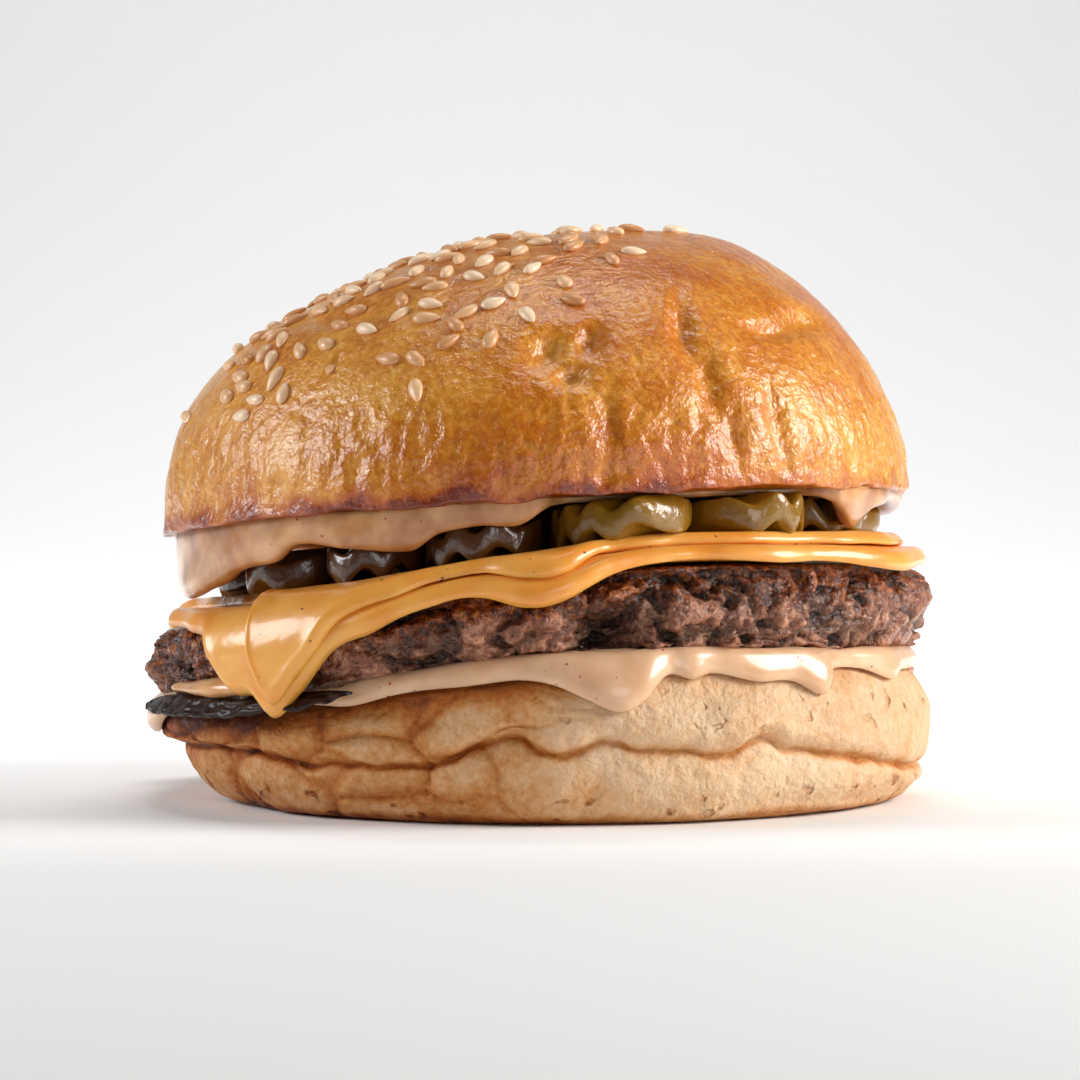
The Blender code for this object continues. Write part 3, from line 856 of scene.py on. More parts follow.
# %% [markdown]
# ## Grains of mince
# A Voronoi pattern drops seeds in space and measures the distance to the nearest. Turned
# upside down, that distance is a field of round mounds with sharp clefts between them.
# Two sizes of it, pushed out along the surface, read as minced meat. The tree is a
# recipe with its sizes as inputs, so the same one, turned low, roughens the heel's crumb.

# %% A tree that raises grains
WARP = 9.0
WARP_SCALE = 0.11
MOUND_TOP = 0.25
MOUND_STEEP = 1.6


def grain_tree():
    tree, source = new_shape_tree(
        "raise_grains", Lump=5.0, Height=1.0, Grain=2.2, GrainHeight=0.4
    )
    place = shift(tree, "SCALE", position(tree), 1 / MM)
    warp = add(tree, "ShaderNodeTexNoise", {"Vector": place, "Scale": WARP_SCALE, "Detail": 3.0})
    place = shift(tree, "ADD", place, shift(tree, "SCALE", warp.outputs["Color"], WARP))
    height = 0.0
    for size, tall in (("Lump", "Height"), ("Grain", "GrainHeight")):
        where = shift(tree, "SCALE", place, calc(tree, "DIVIDE", 1.0, source[size]))
        sockets = {"Vector": where, "Scale": 1.0, "Smoothness": 0.25}
        cells = add(tree, "ShaderNodeTexVoronoi", sockets, feature="SMOOTH_F1")
        fall = calc(tree, "POWER", cells.outputs["Distance"], MOUND_STEEP)
        mound = calc(tree, "SUBTRACT", MOUND_TOP, fall)
        height = total(tree, height, times(tree, mound, source[tall]))
    rise = times(tree, height, times(tree, read(tree, "open"), MM))
    normal = add(tree, "GeometryNodeInputNormal").outputs[0]
    kept = store(tree, source["Geometry"], "mound", height)
    lifted = move(tree, kept, Offset=shift(tree, "SCALE", normal, rise))
    return end_tree(tree, lifted, source["Material"])


GRAINS = grain_tree()


# %% [markdown]
# ## Small things strewn on a surface
# Flecks of pepper and chilli are too many to place by hand. The tree strews points over
# a surface, keeps to where a note on the surface says that they lie, and sets a little
# uneven stone on each. A fixed seed gives the same scatter every time.

# %% A tree that strews grains
def strewn_tree():
    tree, source = new_shape_tree("strew", Density=1.0, Size=0.4, Flat=0.6, Sink=0.1, Seed=0)
    seed = source["Seed"]
    density = times(tree, times(tree, source["Density"], 1 / MM**2), read(tree, "strewn"))
    sockets = {0: source["Geometry"], "Density": density, "Seed": seed}
    points = add(tree, "GeometryNodeDistributePointsOnFaces", sockets).outputs
    stone = add(tree, "GeometryNodeMeshIcoSphere", {"Radius": 0.5, "Subdivisions": 2})
    place = position(tree)
    rough = add(tree, "ShaderNodeTexNoise", {"Vector": place, "Scale": 2.3, "Detail": 1.0})
    uneven = total(tree, 0.55, rough.outputs["Fac"])
    uneven = shift(tree, "MULTIPLY", place, xyz(tree, uneven, uneven, uneven))
    stone = move(tree, stone.outputs[0], Position=uneven)
    size = draw(tree, (0.5, 0.5, 0.5), (1.4, 1.1, 1.0), seed)
    size = shift(tree, "SCALE", size, times(tree, source["Size"], MM))
    spin = draw(tree, (0.0, 0.0, 0.0), (0.3, 0.3, math.tau), seed)
    sockets = {0: points["Rotation"], 1: spin}
    turned = add(tree, "FunctionNodeRotateRotation", sockets, rotation_space="LOCAL")
    sunk = shift(tree, "SCALE", points["Normal"], times(tree, source["Sink"], -MM))
    sockets = {
        0: move(tree, points[0], Offset=sunk), "Instance": stone,
        "Rotation": turned.outputs[0],
        "Scale": shift(tree, "MULTIPLY", size, xyz(tree, 1.0, 1.0, source["Flat"])),
    }
    copies = add(tree, "GeometryNodeInstanceOnPoints", sockets)
    return end_tree(tree, copies.outputs[0], source["Material"])


STREW = strewn_tree()


def points_of(piece):
    """A piece's points as rows of x, y and z in millimetres."""
    points = np.empty(3 * len(piece.data.vertices), np.float32)
    piece.data.vertices.foreach_get("co", points)
    return points.reshape(-1, 3).astype(float) / MM


def strew(name, surface, finish, mask, **sizes):
    """Grains on a copy of a surface, where mask(points in mm) says how thickly."""
    piece = placed(name, surface.data.copy())
    note(piece, "strewn", mask(*points_of(surface).T))
    return grow(piece, STREW, Material=finish, **sizes)


# %% [markdown]
# ## A wavy-cut pickle slice
# A wavy blade cuts both faces with the same ridges, so a slice is a thin oval whose two
# faces rise and fall together. That is a rule, and a tree can hold it: a ball is
# squeezed to the oval, its sides are squared off, and a cosine across it lifts and drops
# both faces. The flat slice is then laid over the cheese, as a real one slumps.

# %% A tree that cuts a wavy slice
SQUARE_RIM = 50.0


def pickle_tree():
    tree, source = new_shape_tree(
        "wavy_slice", HalfLength=10.4, HalfWidth=8.0, Thick=3.0, Pitch=4.0, Depth=0.5,
        Ridges=0.0,
    )
    ball = add(tree, "GeometryNodeMeshUVSphere", {"Segments": 96, "Rings": 56, "Radius": 1.0})
    split = add(tree, "ShaderNodeSeparateXYZ", {0: position(tree)}).outputs
    forward = times(tree, split[0], source["HalfLength"])
    aside = times(tree, split[1], source["HalfWidth"])
    flat = xyz(tree, split[0], split[1])
    share = add(tree, "ShaderNodeVectorMath", {0: flat}, operation="LENGTH").outputs["Value"]
    inside = calc(tree, "SUBTRACT", 1.0, calc(tree, "POWER", share, SQUARE_RIM))
    side = calc(tree, "SQRT", calc(tree, "MAXIMUM", inside, 0.0))
    half = times(tree, calc(tree, "SIGN", split[2]), times(tree, source["Thick"], 0.5))
    turned = calc(tree, "RADIANS", source["Ridges"])
    across = total(
        tree, times(tree, aside, calc(tree, "COSINE", turned)),
        times(tree, forward, calc(tree, "SINE", turned)),
    )
    phase = times(tree, calc(tree, "DIVIDE", across, source["Pitch"]), math.tau)
    wave = times(tree, calc(tree, "COSINE", phase), source["Depth"])
    up = total(tree, times(tree, half, side), wave)
    shaped = move(tree, ball.outputs[0], Position=xyz(tree, forward, aside, up))
    smooth = add(tree, "GeometryNodeSetShadeSmooth", {0: store(tree, shaped, "rim", share)})
    return end_tree(tree, smooth.outputs[0], source["Material"])


# %% [markdown]
# ## Sesame seeds
# A seed is a flattened drop, blunt at one end and pointed at the other. The tree makes
# one seed and sets a copy on each point it is given, turned and sized by notes on the
# points, and each lies a little sunk in the crust that baked round it.

# %% A tree that sets seeds
def seed_tree():
    tree, source = new_shape_tree("set_seeds", Length=3.7, Width=2.1, Thick=1.5, Seed=3)
    seed = source["Seed"]
    ball = add(tree, "GeometryNodeMeshUVSphere", {"Segments": 14, "Rings": 10, "Radius": 0.5})
    split = add(tree, "ShaderNodeSeparateXYZ", {0: position(tree)}).outputs
    narrow = calc(tree, "POWER", total(tree, split[2], 0.5), 2.0)
    narrow = calc(tree, "SUBTRACT", 1.0, times(tree, narrow, 0.5))
    length = times(tree, split[2], source["Length"])
    width = times(tree, split[0], narrow, source["Width"])
    thick = times(tree, split[1], narrow, source["Thick"])
    drop = move(tree, ball.outputs[0], Position=xyz(tree, length, width, thick))
    smooth = add(tree, "GeometryNodeSetShadeSmooth", {0: drop})
    size = draw(tree, (0.88, 0.85, 0.9), (1.1, 1.08, 1.1), seed)
    points = add(tree, "GeometryNodeMeshToPoints", {0: source["Geometry"]})
    sockets = {2: 0.0, 3: 1.0, "Seed": seed}
    shade = add(tree, "FunctionNodeRandomValue", sockets, data_type="FLOAT")
    sockets = {
        0: store(tree, points.outputs[0], "shade", shade.outputs[1]),
        "Instance": smooth.outputs[0], "Rotation": read(tree, "turned", "FLOAT_VECTOR"),
        "Scale": shift(tree, "SCALE", size, MM),
    }
    copies = add(tree, "GeometryNodeInstanceOnPoints", sockets)
    return end_tree(tree, copies.outputs[0], source["Material"])


# %% [markdown]
# ## Finish of the crown
# Egg wash browns unevenly: gold where the skin is stretched, deeper where it faced the
# heat, and nearly burnt along the rim that lay on the plate. A note on each point says
# how far along it is, and also holds a painted sheen at the left and a painted highlight
# low on the right, both as paler crust; a colour ramp turns it into a crust colour. The
# skin is finely pebbled, and a thin coat gives it its wet-looking shine.

# %% Crown finish
def crown_finish():
    finish, tree, shader = new_finish(
        "bun_crown", Coat_Weight=0.6, Coat_Roughness=0.16, Subsurface_Weight=0.03,
        Subsurface_Radius=(1.0, 0.4, 0.1), Subsurface_Scale=0.0015, Specular_IOR_Level=0.45,
    )
    patches = clouds(tree, (0.7, 7.0, 4.0, 0.6), (0.9, 0.9, 4.0, 0.7))
    colour = steps(
        tree, total(tree, noted(tree, "baked"), patches),
        (0.0, 240, 188, 108), (0.3, 222, 150, 52), (0.52, 196, 112, 14),
        (0.72, 180, 86, 4), (0.9, 150, 60, 0), (1.0, 116, 38, 0),
    )
    paint(tree, shader, Base_Color=colour, Roughness=drifting(tree, 1.4, 0.26, 0.44))
    raised(tree, shader, clouds(tree, (1.0, 0.9, 3.0, 0.6), (1.4, 2.2, 2.0)), 0.26)
    return finish


# %% Dress the crown
crown_place = place_of(crown_turn)
x, y, z = points_of(crown).T
# The toasted band along the rim, with a ragged upper edge.
ragged = 0.02 * lumps(x, y, z, 4.0, 5.0) + 0.012 * lumps(x, y, z, 1.6, 2.0)
rim_band = ease(crown_place + ragged, 0.955, 0.995) * (1 - ease(crown_place, 1.03, 1.15))
# Deeper at the top and above the rim, with a few blotches. Paler towards both sides:
# a painted sheen at the left and a painted highlight low on the right.
baked = 0.42 + 0.12 * lumps(x, y, z, 26, 3.0) + 0.08 * ease(z, 52, 76) - 0.14 * ease(-x, 10, 50)
baked += 0.14 * ease(crown_place, 0.72, 0.92) * (0.5 + 0.5 * lumps(x, y, z, 9.0, 3.0))
# Painted highlight: paler low on the right.
baked -= 0.16 * ease(x, 12, 40) * ease(crown_place, 0.6, 0.85)
blotch = ease(lumps(x, y, z, 6.0, 2.0), -0.15, 0.25) * ease(crown_place, 0.88, 0.97)
baked += 0.26 * blotch * (1 - ease(x, 4, 24))
toasted = 0.36 - 0.14 * ease(x, 4, 30)
CUT_FACE = 0.3
note(crown, "baked", np.where(crown_place > 1.08, CUT_FACE, baked) + toasted * rim_band)
crown.data.materials.append(crown_finish())


# %% [markdown]
# ## Finish of the heel
# The side of the heel never browned: it is cream at the right and buff at the left, dry
# and a little floury. Notes on its points mark what is darker: the upper lip, which lay
# on the hot plate when the bun was split, and the foot, both toasted; and the level fold
# and the creases between the pillows, which are painted shade. Where the crumb tore,
# coarse noise digs small pits, painted darker as shade.

# %% Heel finish
def heel_finish():
    finish, tree, shader = new_finish(
        "bun_heel", Subsurface_Weight=0.08, Subsurface_Radius=(1.0, 0.6, 0.3),
        Subsurface_Scale=0.002, Specular_IOR_Level=0.35,
    )
    patches = clouds(tree, (0.6, 7.0, 4.0, 0.6), (0.6, 1.1, 4.0, 0.7))
    # Painted shade: darker in the creases between the pillows and in the torn pits.
    creases = level(tree, noted(tree, "swollen"), 0.2, 0.75, 0.26, 0.0)
    pits = times(tree, level(tree, cloud(tree, 2.6, 2.0), 0.62, 0.7), noted(tree, "torn"))
    baked = total(tree, noted(tree, "baked"), patches, creases, times(tree, pits, 0.35))
    colour = steps(
        tree, baked, (0.0, 226, 194, 158), (0.25, 214, 168, 122), (0.45, 196, 134, 72),
        (0.66, 172, 92, 26), (1.0, 92, 34, 6),
    )
    paint(tree, shader, Base_Color=colour, Roughness=drifting(tree, 3.0, 0.5, 0.72))
    crumb = clouds(tree, (1.0, 0.8, 3.0, 0.6), (1.5, 2.4, 2.0))
    raised(tree, shader, total(tree, crumb, times(tree, pits, -2.5)), 0.35)
    return finish


# %% Dress the heel
x, y, z = points_of(heel).T
heel_place = OUTLINE_STEPS * heel_turn
# Toasted at the upper lip, most of all at the left, and at the foot; darker in the fold
# as painted shade.
lip = ease(z, heel_top(x, y) - 5.0, heel_top(x, y) - 0.8)
lip *= 1.1 + 0.1 * ease(-x, 0, 30) - 0.85 * ease(x, 2, 26)
foot = 1 - ease(z + 0.5 * lumps(x, y, z, 6, 7.0), 0.4, 1.8)
fold = hump(heel_place, CREASE_PLACE, 0.1) * (0.8 + 0.4 * lumps(x, y, z, 5, 2.0))
# Browner from the middle towards the left, with uneven patches.
baked = 0.12 + 0.2 * ease(-x, -14, 6) + 0.14 * ease(-x, 14, 44) + 0.14 * lumps(x, y, z, 12, 2.0)
baked += 0.4 * lip + 0.35 * foot + 0.4 * fold
UNDERSIDE = 0.45
note(heel, "baked", np.where(heel_place > 7.4, UNDERSIDE, baked))
heel_side = ease(heel_place, 2.8, 3.4) * (1 - ease(heel_place, 6.6, 7.2))
note(heel, "open", heel_side)
# Creases between the pillows, painted darker as shade, and where the crumb tore: just
# above the foot, and higher up at the front right, where the pits are painted darker as shade.
creases = (1 - heel_pillows(heel_angle, heel_place)) * heel_side
note(heel, "swollen", 1 - creases * (0.3 + 0.7 * pressed(x)))
torn = ease(z, 0.3, 0.9) * (1 - ease(z, 2.5, 5.0))
note(heel, "torn", torn + 0.7 * hump(z, 14.0, 2.5) * ease(x, -12, 6))
CRUMB = {"Lump": 6.5, "Height": 0.35, "Grain": 2.6, "GrainHeight": 0.12}
heel = grow(heel, GRAINS, Material=heel_finish(), **CRUMB)


# %% [markdown]
# ## Finish of the patty
# Seared beef is nearly black where the plate touched it, red-brown where the crust is
# thin, and grey-pink at the side where it only steamed. Fat and juice leave it wet, so
# the roughness falls in patches and each grain has its own small highlight.

# %% Patty finish
def patty_finish():
    finish, tree, shader = new_finish(
        "seared_beef", Coat_Weight=0.55, Coat_Roughness=0.08, Specular_IOR_Level=0.25,
        Subsurface_Weight=0.05, Subsurface_Radius=(1.0, 0.35, 0.2), Subsurface_Scale=0.0015,
    )
    seared = total(tree, noted(tree, "seared"), clouds(tree, (1.6, 3.0, 4.0, 0.6)))
    meat = steps(
        tree, cloud(tree, 1.3, 5.0, 0.7), (0.3, 88, 40, 22), (0.44, 140, 84, 60),
        (0.56, 186, 130, 100), (0.72, 226, 174, 138),
    )
    crust = steps(
        tree, cloud(tree, 1.0, 5.0, 0.7), (0.32, 26, 10, 4), (0.46, 86, 36, 12),
        (0.56, 152, 74, 24), (0.7, 212, 136, 66),
    )
    colour = blend(tree, level(tree, seared, 0.3, 0.62), meat, crust)
    # Black where the fat burnt at the left foot, and black in the hollow as painted shade.
    colour = blend(tree, noted(tree, "burnt"), colour, tint(14, 7, 6))
    # Painted shade: the colour is darkened in the clefts between the grains of mince.
    deep = total(tree, noted(tree, "mound"), times(tree, noted(tree, "meat"), 2.0))
    colour = blend(tree, 1.0, colour, level(tree, deep, 0.1, 1.3, 0.1, 1.0), "MULTIPLY")
    wet = level(tree, cloud(tree, 1.2), 0.35, 0.65, 0.12, 0.42)
    paint(tree, shader, Base_Color=colour, Roughness=wet)
    raised(tree, shader, clouds(tree, (1.0, 0.5, 3.0, 0.6), (1.8, 1.3, 2.0)), 0.4)
    return finish


# %% Dress the patty
x, y, z = points_of(patty).T
patty_place = OUTLINE_STEPS * patty_turn
# Grains stand open at the side, but not where the cheese hangs over them.
side = ease(patty_place, 2.6, 3.6) * (1 - ease(patty_place, 7.0, 7.5))
covered = ease(around(LOWER_SLICE_REACH, patty_angle), 53, 58) * (1 - ease(patty_place, 4.2, 5.0))
note(patty, "open", side * (1 - 0.8 * covered))
# How proud the meat stands; the finish darkens the clefts by it as painted shade.
note(patty, "meat", 1 - side * (1 - meat_relief(patty_angle, patty_place)))
# Seared dark at the top, browner lower down, and burnt black at the foot on the left.
# The hollow in the front is painted black as well, as painted shade.
below_top = 1 - ease(z - patty_top(x, y), -7.5, -1.5)
seared = 0.85 - 0.75 * below_top + 0.3 * lumps(x, y, z, 9, 4.0) + 0.5 * ease(-x, 34, 46)
note(patty, "seared", seared)
burnt = lace_share(patty_angle) * hump(patty_place, 6.7, 0.55)
note(patty, "burnt", np.maximum(burnt, 0.85 * hollow(patty_angle, patty_place, 1.0)))
MINCE = {"Lump": 3.4, "Height": 0.7, "Grain": 1.7, "GrainHeight": 0.5}
patty = grow(patty, GRAINS, Material=patty_finish(), **MINCE)


# %% [markdown]
# ## Finish of the cheese
# Processed cheese melts into a smooth, waxy sheet. Light goes a little way into it,
# which a subsurface share gives, and its skin has a soft shine. The colour is nearly
# even, a warm yellow that drifts a little towards orange.

# %% Cheese finish
def cheese_finish():
    finish, tree, shader = new_finish(
        "melted_cheese", Coat_Weight=0.5, Coat_Roughness=0.14, Subsurface_Weight=0.35,
        Subsurface_Radius=(1.0, 0.45, 0.12), Subsurface_Scale=0.003,
    )
    colour = steps(tree, cloud(tree, 9.0), (0.35, 232, 148, 50), (0.65, 246, 174, 80))
    paint(tree, shader, Base_Color=colour, Roughness=drifting(tree, 6.0, 0.28, 0.42))
    raised(tree, shader, clouds(tree, (1.0, 4.0, 2.0), (0.15, 0.8)), 0.3, 0.5)
    return finish


CHEESE = cheese_finish()
for piece in slices:
    piece.data.materials.append(CHEESE)


# %% [markdown]
# ## Finish of the sauce
# A cream-based sauce with a little tomato and paprika in it: pinkish cream, smooth and
# wet. The sauce under the crown gets a darker, browner copy of the finish as painted
# shade. The specks in it are real grains, strewn further down.

# %% Sauce finish
def sauce_finish(name, dull, bright):
    finish, tree, shader = new_finish(
        name, Coat_Weight=0.5, Coat_Roughness=0.1, Subsurface_Weight=0.3,
        Subsurface_Radius=(1.0, 0.6, 0.4), Subsurface_Scale=0.0025, Roughness=0.3,
    )
    colour = steps(tree, cloud(tree, 5.0), (0.35, *dull), (0.65, *bright))
    paint(tree, shader, Base_Color=colour)
    raised(tree, shader, cloud(tree, 5.0, 1.0), 0.4, 0.5)
    return finish


CREAM_SAUCE = sauce_finish("cream_sauce", (218, 170, 130), (234, 192, 154))
# The same sauce under the crown, darker as painted shade.
PINK_SAUCE = sauce_finish("pink_sauce", (168, 106, 54), (210, 158, 106))
sauce_on_heel.data.materials.append(CREAM_SAUCE)
sauce_under_crown.data.materials.append(PINK_SAUCE)


# %% [markdown]
# ## Finish of the pickles
# A pickled slice is olive green and half clear, darker at its skin. The slices at the
# left get a darker, nearly brown copy of the finish: partly juice that they have soaked
# up, and partly painted shade, as they stand in the shade.

# %% Pickle finishes
def pickle_finish(name, skin_colour, flesh, pale):
    finish, tree, shader = new_finish(
        name, Coat_Weight=0.7, Coat_Roughness=0.16, Subsurface_Weight=0.3, Roughness=0.3,
        Subsurface_Radius=(0.7, 1.0, 0.2), Subsurface_Scale=0.002,
    )
    inside = steps(tree, cloud(tree, 2.2), (0.35, *flesh), (0.7, *pale))
    rim = level(tree, noted(tree, "rim"), 0.9, 0.99)
    paint(tree, shader, Base_Color=blend(tree, rim, inside, tint(*skin_colour)))
    raised(tree, shader, cloud(tree, 1.4, 2.0), 0.3, 0.6)
    return finish


GREEN = pickle_finish("pickle_green", (136, 98, 14), (166, 112, 30), (204, 152, 76))
# Darker copy for the slices at the left: partly their own brown, partly painted shade.
BROWN = pickle_finish("pickle_brown", (78, 44, 8), (112, 68, 16), (146, 98, 38))


# %% Cut the slices and lay them on the cheese
PICKLE_THICKEST = 5.0
PICKLE_BODY = 3.8
PICKLE_WAVE = 0.8
PICKLE_HALF_LENGTH = 10.4
# Slices as (angle, distance out, half width, turn in degrees of the ridges).
PICKLES = (
    (-143, 35.6, 6.7, 20), (-122, 35.6, 6.2, -35), (-100.5, 36.4, 7.1, 10),
    (-75, 38.0, 8.6, 55), (-50, 37.8, 7.6, -20), (-27.5, 36.2, 6.6, 35),
    (2, 35.6, 8.0, -50), (38, 35.8, 9.0, 15), (80, 35.0, 8.6, 60),
    (122, 35.4, 8.8, -10), (166, 35.0, 8.4, 40),
)
BROWN_PICKLES = (0, 1, 2, 10)
WAVY_SLICE = pickle_tree()


def lay_on_cheese(piece, angle, out, thick):
    """Bends a flat slice over the cheese, its length pointing outwards."""
    forward, aside, up = points_of(piece).T
    distance = out + forward
    turned_to = angle + np.degrees(aside / out)
    x, y = polar(turned_to, distance)
    # Squeezed to the room under the crown, less where sauce hangs in front.
    room = crown_base(x, y) - cheese_top(x, y) - GAP - UPPER_SAUCE
    room -= 0.6 * upper_hang(turned_to) * ease(distance, 42.0, 44.5)
    room += UPPER_SAUCE * drawn_back(turned_to) * ease(distance, 43.5, 45.0)
    fitted = np.minimum(room, thick) / thick
    lift = 2 * (GAP + SLICE) + thick * fitted / 2 + up * fitted
    points = np.column_stack(slice_point(turned_to, distance, lift)) * MM
    piece.data.vertices.foreach_set("co", points.ravel())
    piece.data.update()


pickles = []
for number, (at, out, half_width, ridges) in enumerate(PICKLES):
    piece = placed(f"wavy_pickle_{number + 1}", bpy.data.meshes.new("blank"))
    grow(
        piece, WAVY_SLICE, HalfLength=PICKLE_HALF_LENGTH, HalfWidth=half_width,
        Thick=PICKLE_BODY, Depth=PICKLE_WAVE, Ridges=float(ridges),
        Material=BROWN if number in BROWN_PICKLES else GREEN,
    )
    for vertex in piece.data.vertices:
        vertex.co *= MM
    lay_on_cheese(piece, at, out, PICKLE_THICKEST)
    pickles.append(piece)


# %% [markdown]
# ## Sowing the crown
# The places of the seeds come from the same rule as in the solid: random places on the
# upper skin, kept if they fall in the patch and not too near another. A second patch at
# the front left, where they lie thickest, adds seeds that the solid leaves out. Each
# place gets a point with its own turn, and the tree sets the seeds.

# %% Sow the seeds
# Patches of seeds as (count, middle x, middle y, radius, spacing).
SEED_PATCHES = ((76, -14.0, -4.0, 36.0, 3.7), (60, -16.0, -17.0, 27.0, 2.7))
SEED_RISE = 0.25


def crown_at(angle, place):
    surface = crown_surface(np.array([angle]), np.array([RIM_TURN * place]))
    return Vector(surface[:, 0])


def seed_places():
    """Places of the seeds on the crown, thinning out at the edge of each patch."""
    draw = random.Random(11)
    places = []
    wanted = 0
    for count, middle_x, middle_y, radius, spacing in SEED_PATCHES:
        wanted += count
        while len(places) < wanted:
            angle = draw.uniform(-180, 180)
            place = math.sqrt(draw.uniform(0.0, 0.6))
            point = crown_at(angle, place)
            away = math.hypot(point.x - middle_x, point.y - middle_y)
            kept = draw.random() < 1.15 - (away / radius) ** 3
            turn = draw.uniform(0, 360)
            if not kept or away > radius:
                continue
            if all((point - other).length > spacing for other, *_ in places):
                places.append((point, angle, place, turn))
    return places


def seed_turn(point, angle, place, turn):
    """The lie of a seed, flat on the crust, as Euler angles, and the crust's normal."""
    down = crown_at(angle, min(place + 0.02, 1.0)) - point
    outwards = down.cross(crown_at(angle + 1.0, place) - point).normalized()
    spun = outwards.to_track_quat("Z", "X") @ Quaternion((0, 0, 1), math.radians(turn))
    return spun.to_euler(), outwards


def sow(name, finish):
    places = seed_places()
    lies = [seed_turn(*place) for place in places]
    mesh = bpy.data.meshes.new(name)
    points = [(place[0] + lie[1] * SEED_RISE) * MM for place, lie in zip(places, lies)]
    mesh.from_pydata(points, [], [])
    turns = np.array([tuple(lie[0]) for lie in lies], np.float32)
    mesh.attributes.new("turned", "FLOAT_VECTOR", "POINT").data.foreach_set("vector", turns.ravel())
    return grow(placed(name, mesh), seed_tree(), Material=finish)


def seed_finish():
    finish, tree, shader = new_finish(
        "sesame", Subsurface_Weight=0.3, Subsurface_Radius=(1.0, 0.7, 0.4), Subsurface_Scale=0.001,
        Coat_Weight=0.3, Coat_Roughness=0.2,
    )
    colour = steps(
        tree, noted(tree, "shade"),
        (0.0, 206, 142, 84), (0.5, 234, 188, 140), (1.0, 248, 218, 184),
    )
    paint(tree, shader, Base_Color=colour, Roughness=drifting(tree, 0.8, 0.3, 0.5))
    raised(tree, shader, cloud(tree, 0.5, 2.0), 0.06, 0.6)
    return finish


seeds = sow("sesame_seeds", seed_finish())


# %% [markdown]
# ## Pepper and chilli
# Cracked pepper lies on the cheese and in the sauce, with a few red flecks of chilli.
# They are real grains, a few tenths of a millimetre across, strewn where they show.

# %% Strew the pepper and the chilli
def plain_finish(name, first, second, roughness):
    finish, tree, shader = new_finish(name, Roughness=roughness, Specular_IOR_Level=0.3)
    colour = steps(tree, cloud(tree, 0.4), (0.3, *first), (0.7, *second))
    paint(tree, shader, Base_Color=colour)
    return finish


PEPPER = plain_finish("pepper", (40, 26, 18), (96, 66, 42), 0.6)
CHILLI = plain_finish("chilli", (150, 40, 14), (200, 84, 30), 0.4)


def outer(x, y, z):
    """Only near the edge, where the grains show."""
    return ease(np.hypot(x, y), 40, 44)


specks = [
    strew("pepper_on_cheese", slices[1], PEPPER, outer, Density=0.045, Size=0.5, Seed=4),
    strew("pepper_in_sauce", sauce_on_heel, PEPPER, outer, Density=0.06, Size=0.4, Seed=7),
    strew("chilli_in_sauce", sauce_on_heel, CHILLI, outer, Density=0.05, Size=0.45, Seed=9),
    strew("chilli_under_crown", sauce_under_crown, CHILLI, outer, Density=0.04, Size=0.45, Seed=5),
]


# %% [markdown]
# ## The burnt lace and what has run on to it
# Fat and juice that ran out on the plate have fried to a thin black lace at the left
# foot of the patty, and melted cheese and fat have pooled on it. Both are bands that
# follow the edge of the heel, so they are skins whose poles are the two ends of a band.

# %% Bands along the edge
LACE_EDGE = 54.0
LACE_MIDDLE = 52.7
POOL_MIDDLE = 52.0


def band(name, start, end, section, finish):
    """A closed band between two angles, with section(angle, out, up) as its points."""
    def surface(turned, turn):
        angle = start + (end - start) * turn
        taper = (1 - np.abs(2 * turn - 1) ** 3) ** 0.7
        out = taper * np.cos(np.radians(turned))
        up = taper * np.sin(np.radians(turned))
        radius, height = section(angle, out, up)
        x, y = polar(angle, radius)
        return x, y, height

    piece, *_ = skin(name, surface, 48, rings((0, 1, 260)))
    piece.data.materials.append(finish)
    return piece


def lace_section(angle, out, up):
    x, y = polar(angle, LACE_EDGE)
    frill = 0.4 * lumps(x, y, 9 * up, 3.0, 2.0) + 0.25 * lumps(x, y, 3 * up, 1.2, 5.0)
    ragged_foot = 0.4 * lumps(x, y, 0 * up, 2.4, 8.0) * (up < 0)
    height = heel_top(x, y) + 0.6 + 1.4 * up + 0.2 * out + ragged_foot
    return LACE_MIDDLE - 1.4 * up + 0.6 * out + frill, height


def pool_section(angle, out, up):
    x, y = polar(angle, 53.0)
    swell = 1 + 0.5 * lumps(x, y, 0 * up, 6.0, 3.0)
    radius = POOL_MIDDLE + 1.5 * out * swell - 0.5 * up + 0.4 * lumps(x, y, 2 * up, 4.0, 1.0)
    return radius, heel_top(x, y) + 2.9 + 1.1 * up * swell


BURNT = plain_finish("burnt_fat", (12, 5, 3), (48, 22, 10), 0.36)
MELT = sauce_finish("melted_run", (206, 140, 80), (226, 172, 116))
lace = band("burnt_lace", -171, -116, lace_section, BURNT)
pool = band("melted_pool", -156, -127, pool_section, MELT)


# %% [markdown]
# ## Joining the frame
# Every piece is tied to the body it belongs to, and the solids that it stands for are
# hidden. The burger has no moving parts, so there is one body.

# %% Tie the pieces to the frame
def stand_in(piece, slot, *nodes):
    """Ties a piece to the body and hides the solids it stands for, if there are any."""
    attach(piece, "root")
    if nodes:
        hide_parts(*nodes)


stand_in(heel, "bun_bottom", "bun_bottom")
stand_in(patty, "patty", "patty")
stand_in(slices[0], "cheese", "cheese_lower")
stand_in(slices[1], "cheese", "cheese_upper")
stand_in(sauce_on_heel, "sauce", "sauce_lower")
stand_in(sauce_under_crown, "sauce", "sauce_upper")
stand_in(crown, "bun_top", "bun_top")
stand_in(seeds, "bun_top", "bun_top")
for number, piece in enumerate(pickles, start=1):
    stand_in(piece, "pickle", f"pickle_{number}")
stand_in(lace, "patty")
stand_in(pool, "cheese")
for piece in specks:
    stand_in(piece, "cheese" if "cheese" in piece.name else "sauce")


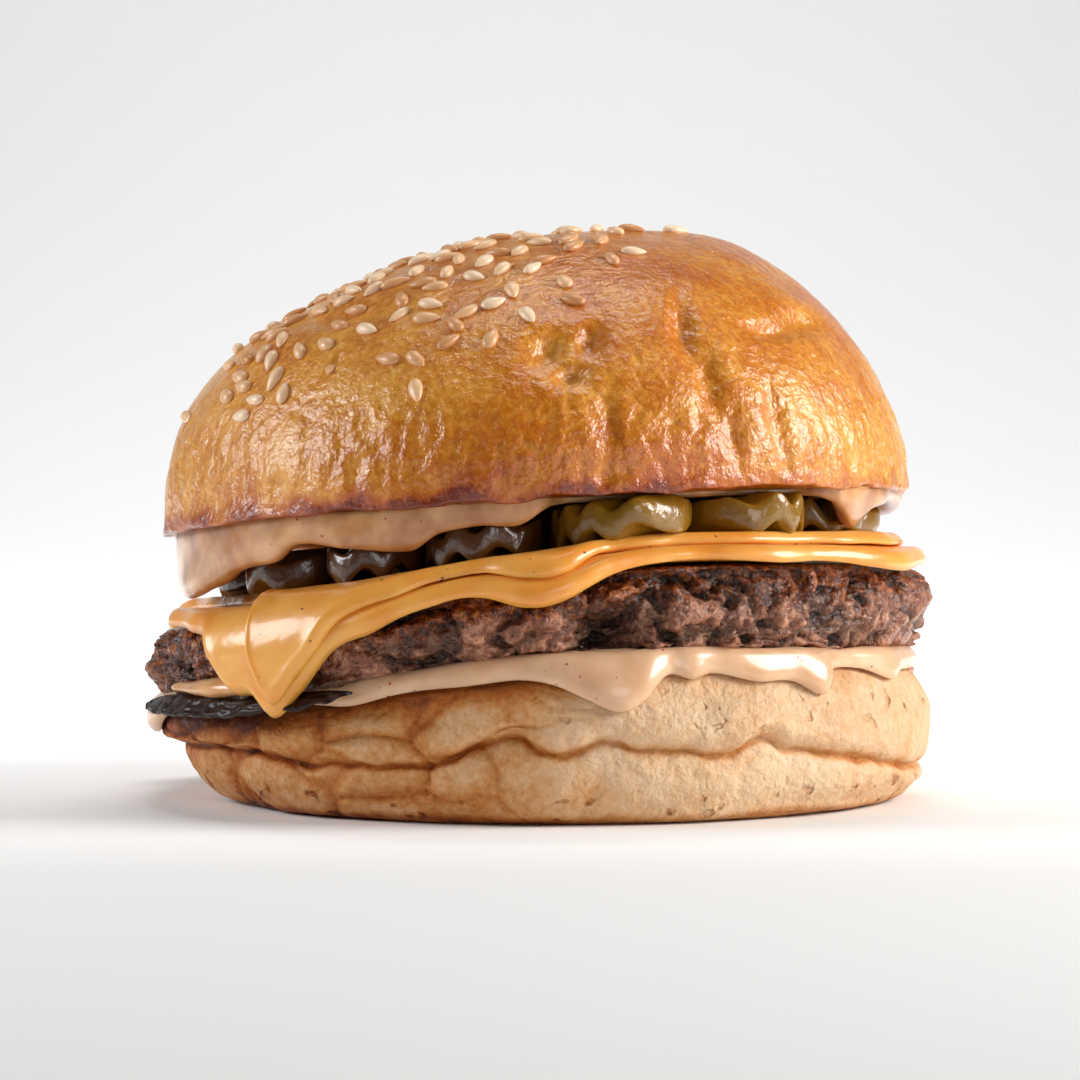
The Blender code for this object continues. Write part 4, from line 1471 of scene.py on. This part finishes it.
# %% [markdown]
# ## Table, lights and camera
# The table is a pale sheet that curves up behind the burger, so that no edge of it shows.
# A large warm light at the right makes the bright side of the bun, and a cooler one at
# the left gives the pale sheen there. A weak one fills the front, and one behind lights
# only the sheet. The camera stands a little over half a metre away with a long lens,
# almost level with the table, as the picture was taken.

# %% Table
SWEEP_FRONT = -1.6
SWEEP_BACK = 0.9
SWEEP_RISE = 0.9
SWEEP_HALF_WIDTH = 2.5


def sweep_floor():
    """A sheet that lies flat, then bends up behind."""
    mesh = bpy.data.meshes.new("table")
    sheet = bmesh.new()
    bmesh.ops.create_grid(sheet, x_segments=2, y_segments=48, size=1.0)
    for vertex in sheet.verts:
        run = (vertex.co.y + 1) / 2
        bend = max(run - 0.5, 0.0) * math.pi
        y = SWEEP_FRONT + (SWEEP_BACK - SWEEP_FRONT) * min(run * 2, 1.0)
        y += SWEEP_RISE * math.sin(bend)
        vertex.co = (vertex.co.x * SWEEP_HALF_WIDTH, y, SWEEP_RISE * (1 - math.cos(bend)))
    sheet.to_mesh(mesh)
    sheet.free()
    mesh.shade_smooth()
    finish, tree, shader = new_finish("table_white", Roughness=0.8, Specular_IOR_Level=0.1)
    colour = steps(tree, cloud(tree, 300.0), (0.0, 247, 247, 247), (1.0, 250, 250, 250))
    paint(tree, shader, Base_Color=colour)
    mesh.materials.append(finish)
    placed("table", mesh)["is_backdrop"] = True


sweep_floor()


# %% Lights and camera
def soft_light(name, place, size, power, colour, aim=(0.0, 0.0, 0.04)):
    light = bpy.data.lights.new(name, "AREA")
    light.shape = "DISK"
    light.size = size
    light.energy = power
    light.color = colour
    lamp = placed(name, light)
    lamp.location = place
    lamp.rotation_euler = (Vector(aim) - Vector(place)).to_track_quat("-Z", "Y").to_euler()


soft_light("key_right", (0.52, -0.10, 0.26), 0.34, 3.9, (1.0, 0.98, 0.95))
soft_light("soft_left", (-0.52, -0.06, 0.26), 0.3, 2.1, (0.94, 0.97, 1.0))
soft_light("top", (0.05, 0.1, 0.7), 0.3, 0.6, (1.0, 0.97, 0.92))
soft_light("front_fill", (0.25, -0.7, 0.14), 0.3, 0.7, (1.0, 1.0, 1.0))
soft_light("wall_wash", (0.0, 0.25, 0.75), 0.5, 14.0, (1.0, 1.0, 1.0), (0.0, 1.1, 0.35))

CAMERA_AWAY = 0.56
CAMERA_RISE = math.radians(1.5)
LOOK_AT = Vector((0.0, 0.0, 0.0344))
SENSOR = 36.0
LENS = 138.3
WORLD_GLOW = 0.06

view = bpy.data.cameras.new("view")
view.sensor_width = SENSOR
view.lens = LENS
camera = placed("view", view)
away = Vector((0.0, -math.cos(CAMERA_RISE), math.sin(CAMERA_RISE)))
camera.location = LOOK_AT + CAMERA_AWAY * away
camera.rotation_euler = (LOOK_AT - camera.location).to_track_quat("-Z", "Y").to_euler()
bpy.context.scene.camera = camera

world = bpy.data.worlds.new("studio")
world.use_nodes = True
glow = world.node_tree.nodes["Background"].inputs
glow["Color"].default_value = (1.0, 1.0, 1.0, 1.0)
glow["Strength"].default_value = WORLD_GLOW
bpy.context.scene.world = world
bpy.context.scene.view_settings.view_transform = "Standard"


# %% Measure and finish
size = {"cad": cad_box, "visual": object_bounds()}
visual_box = [[round(1000 * side, 1) for side in corner] for corner in size["visual"]]
print("visual box in mm:", visual_box)
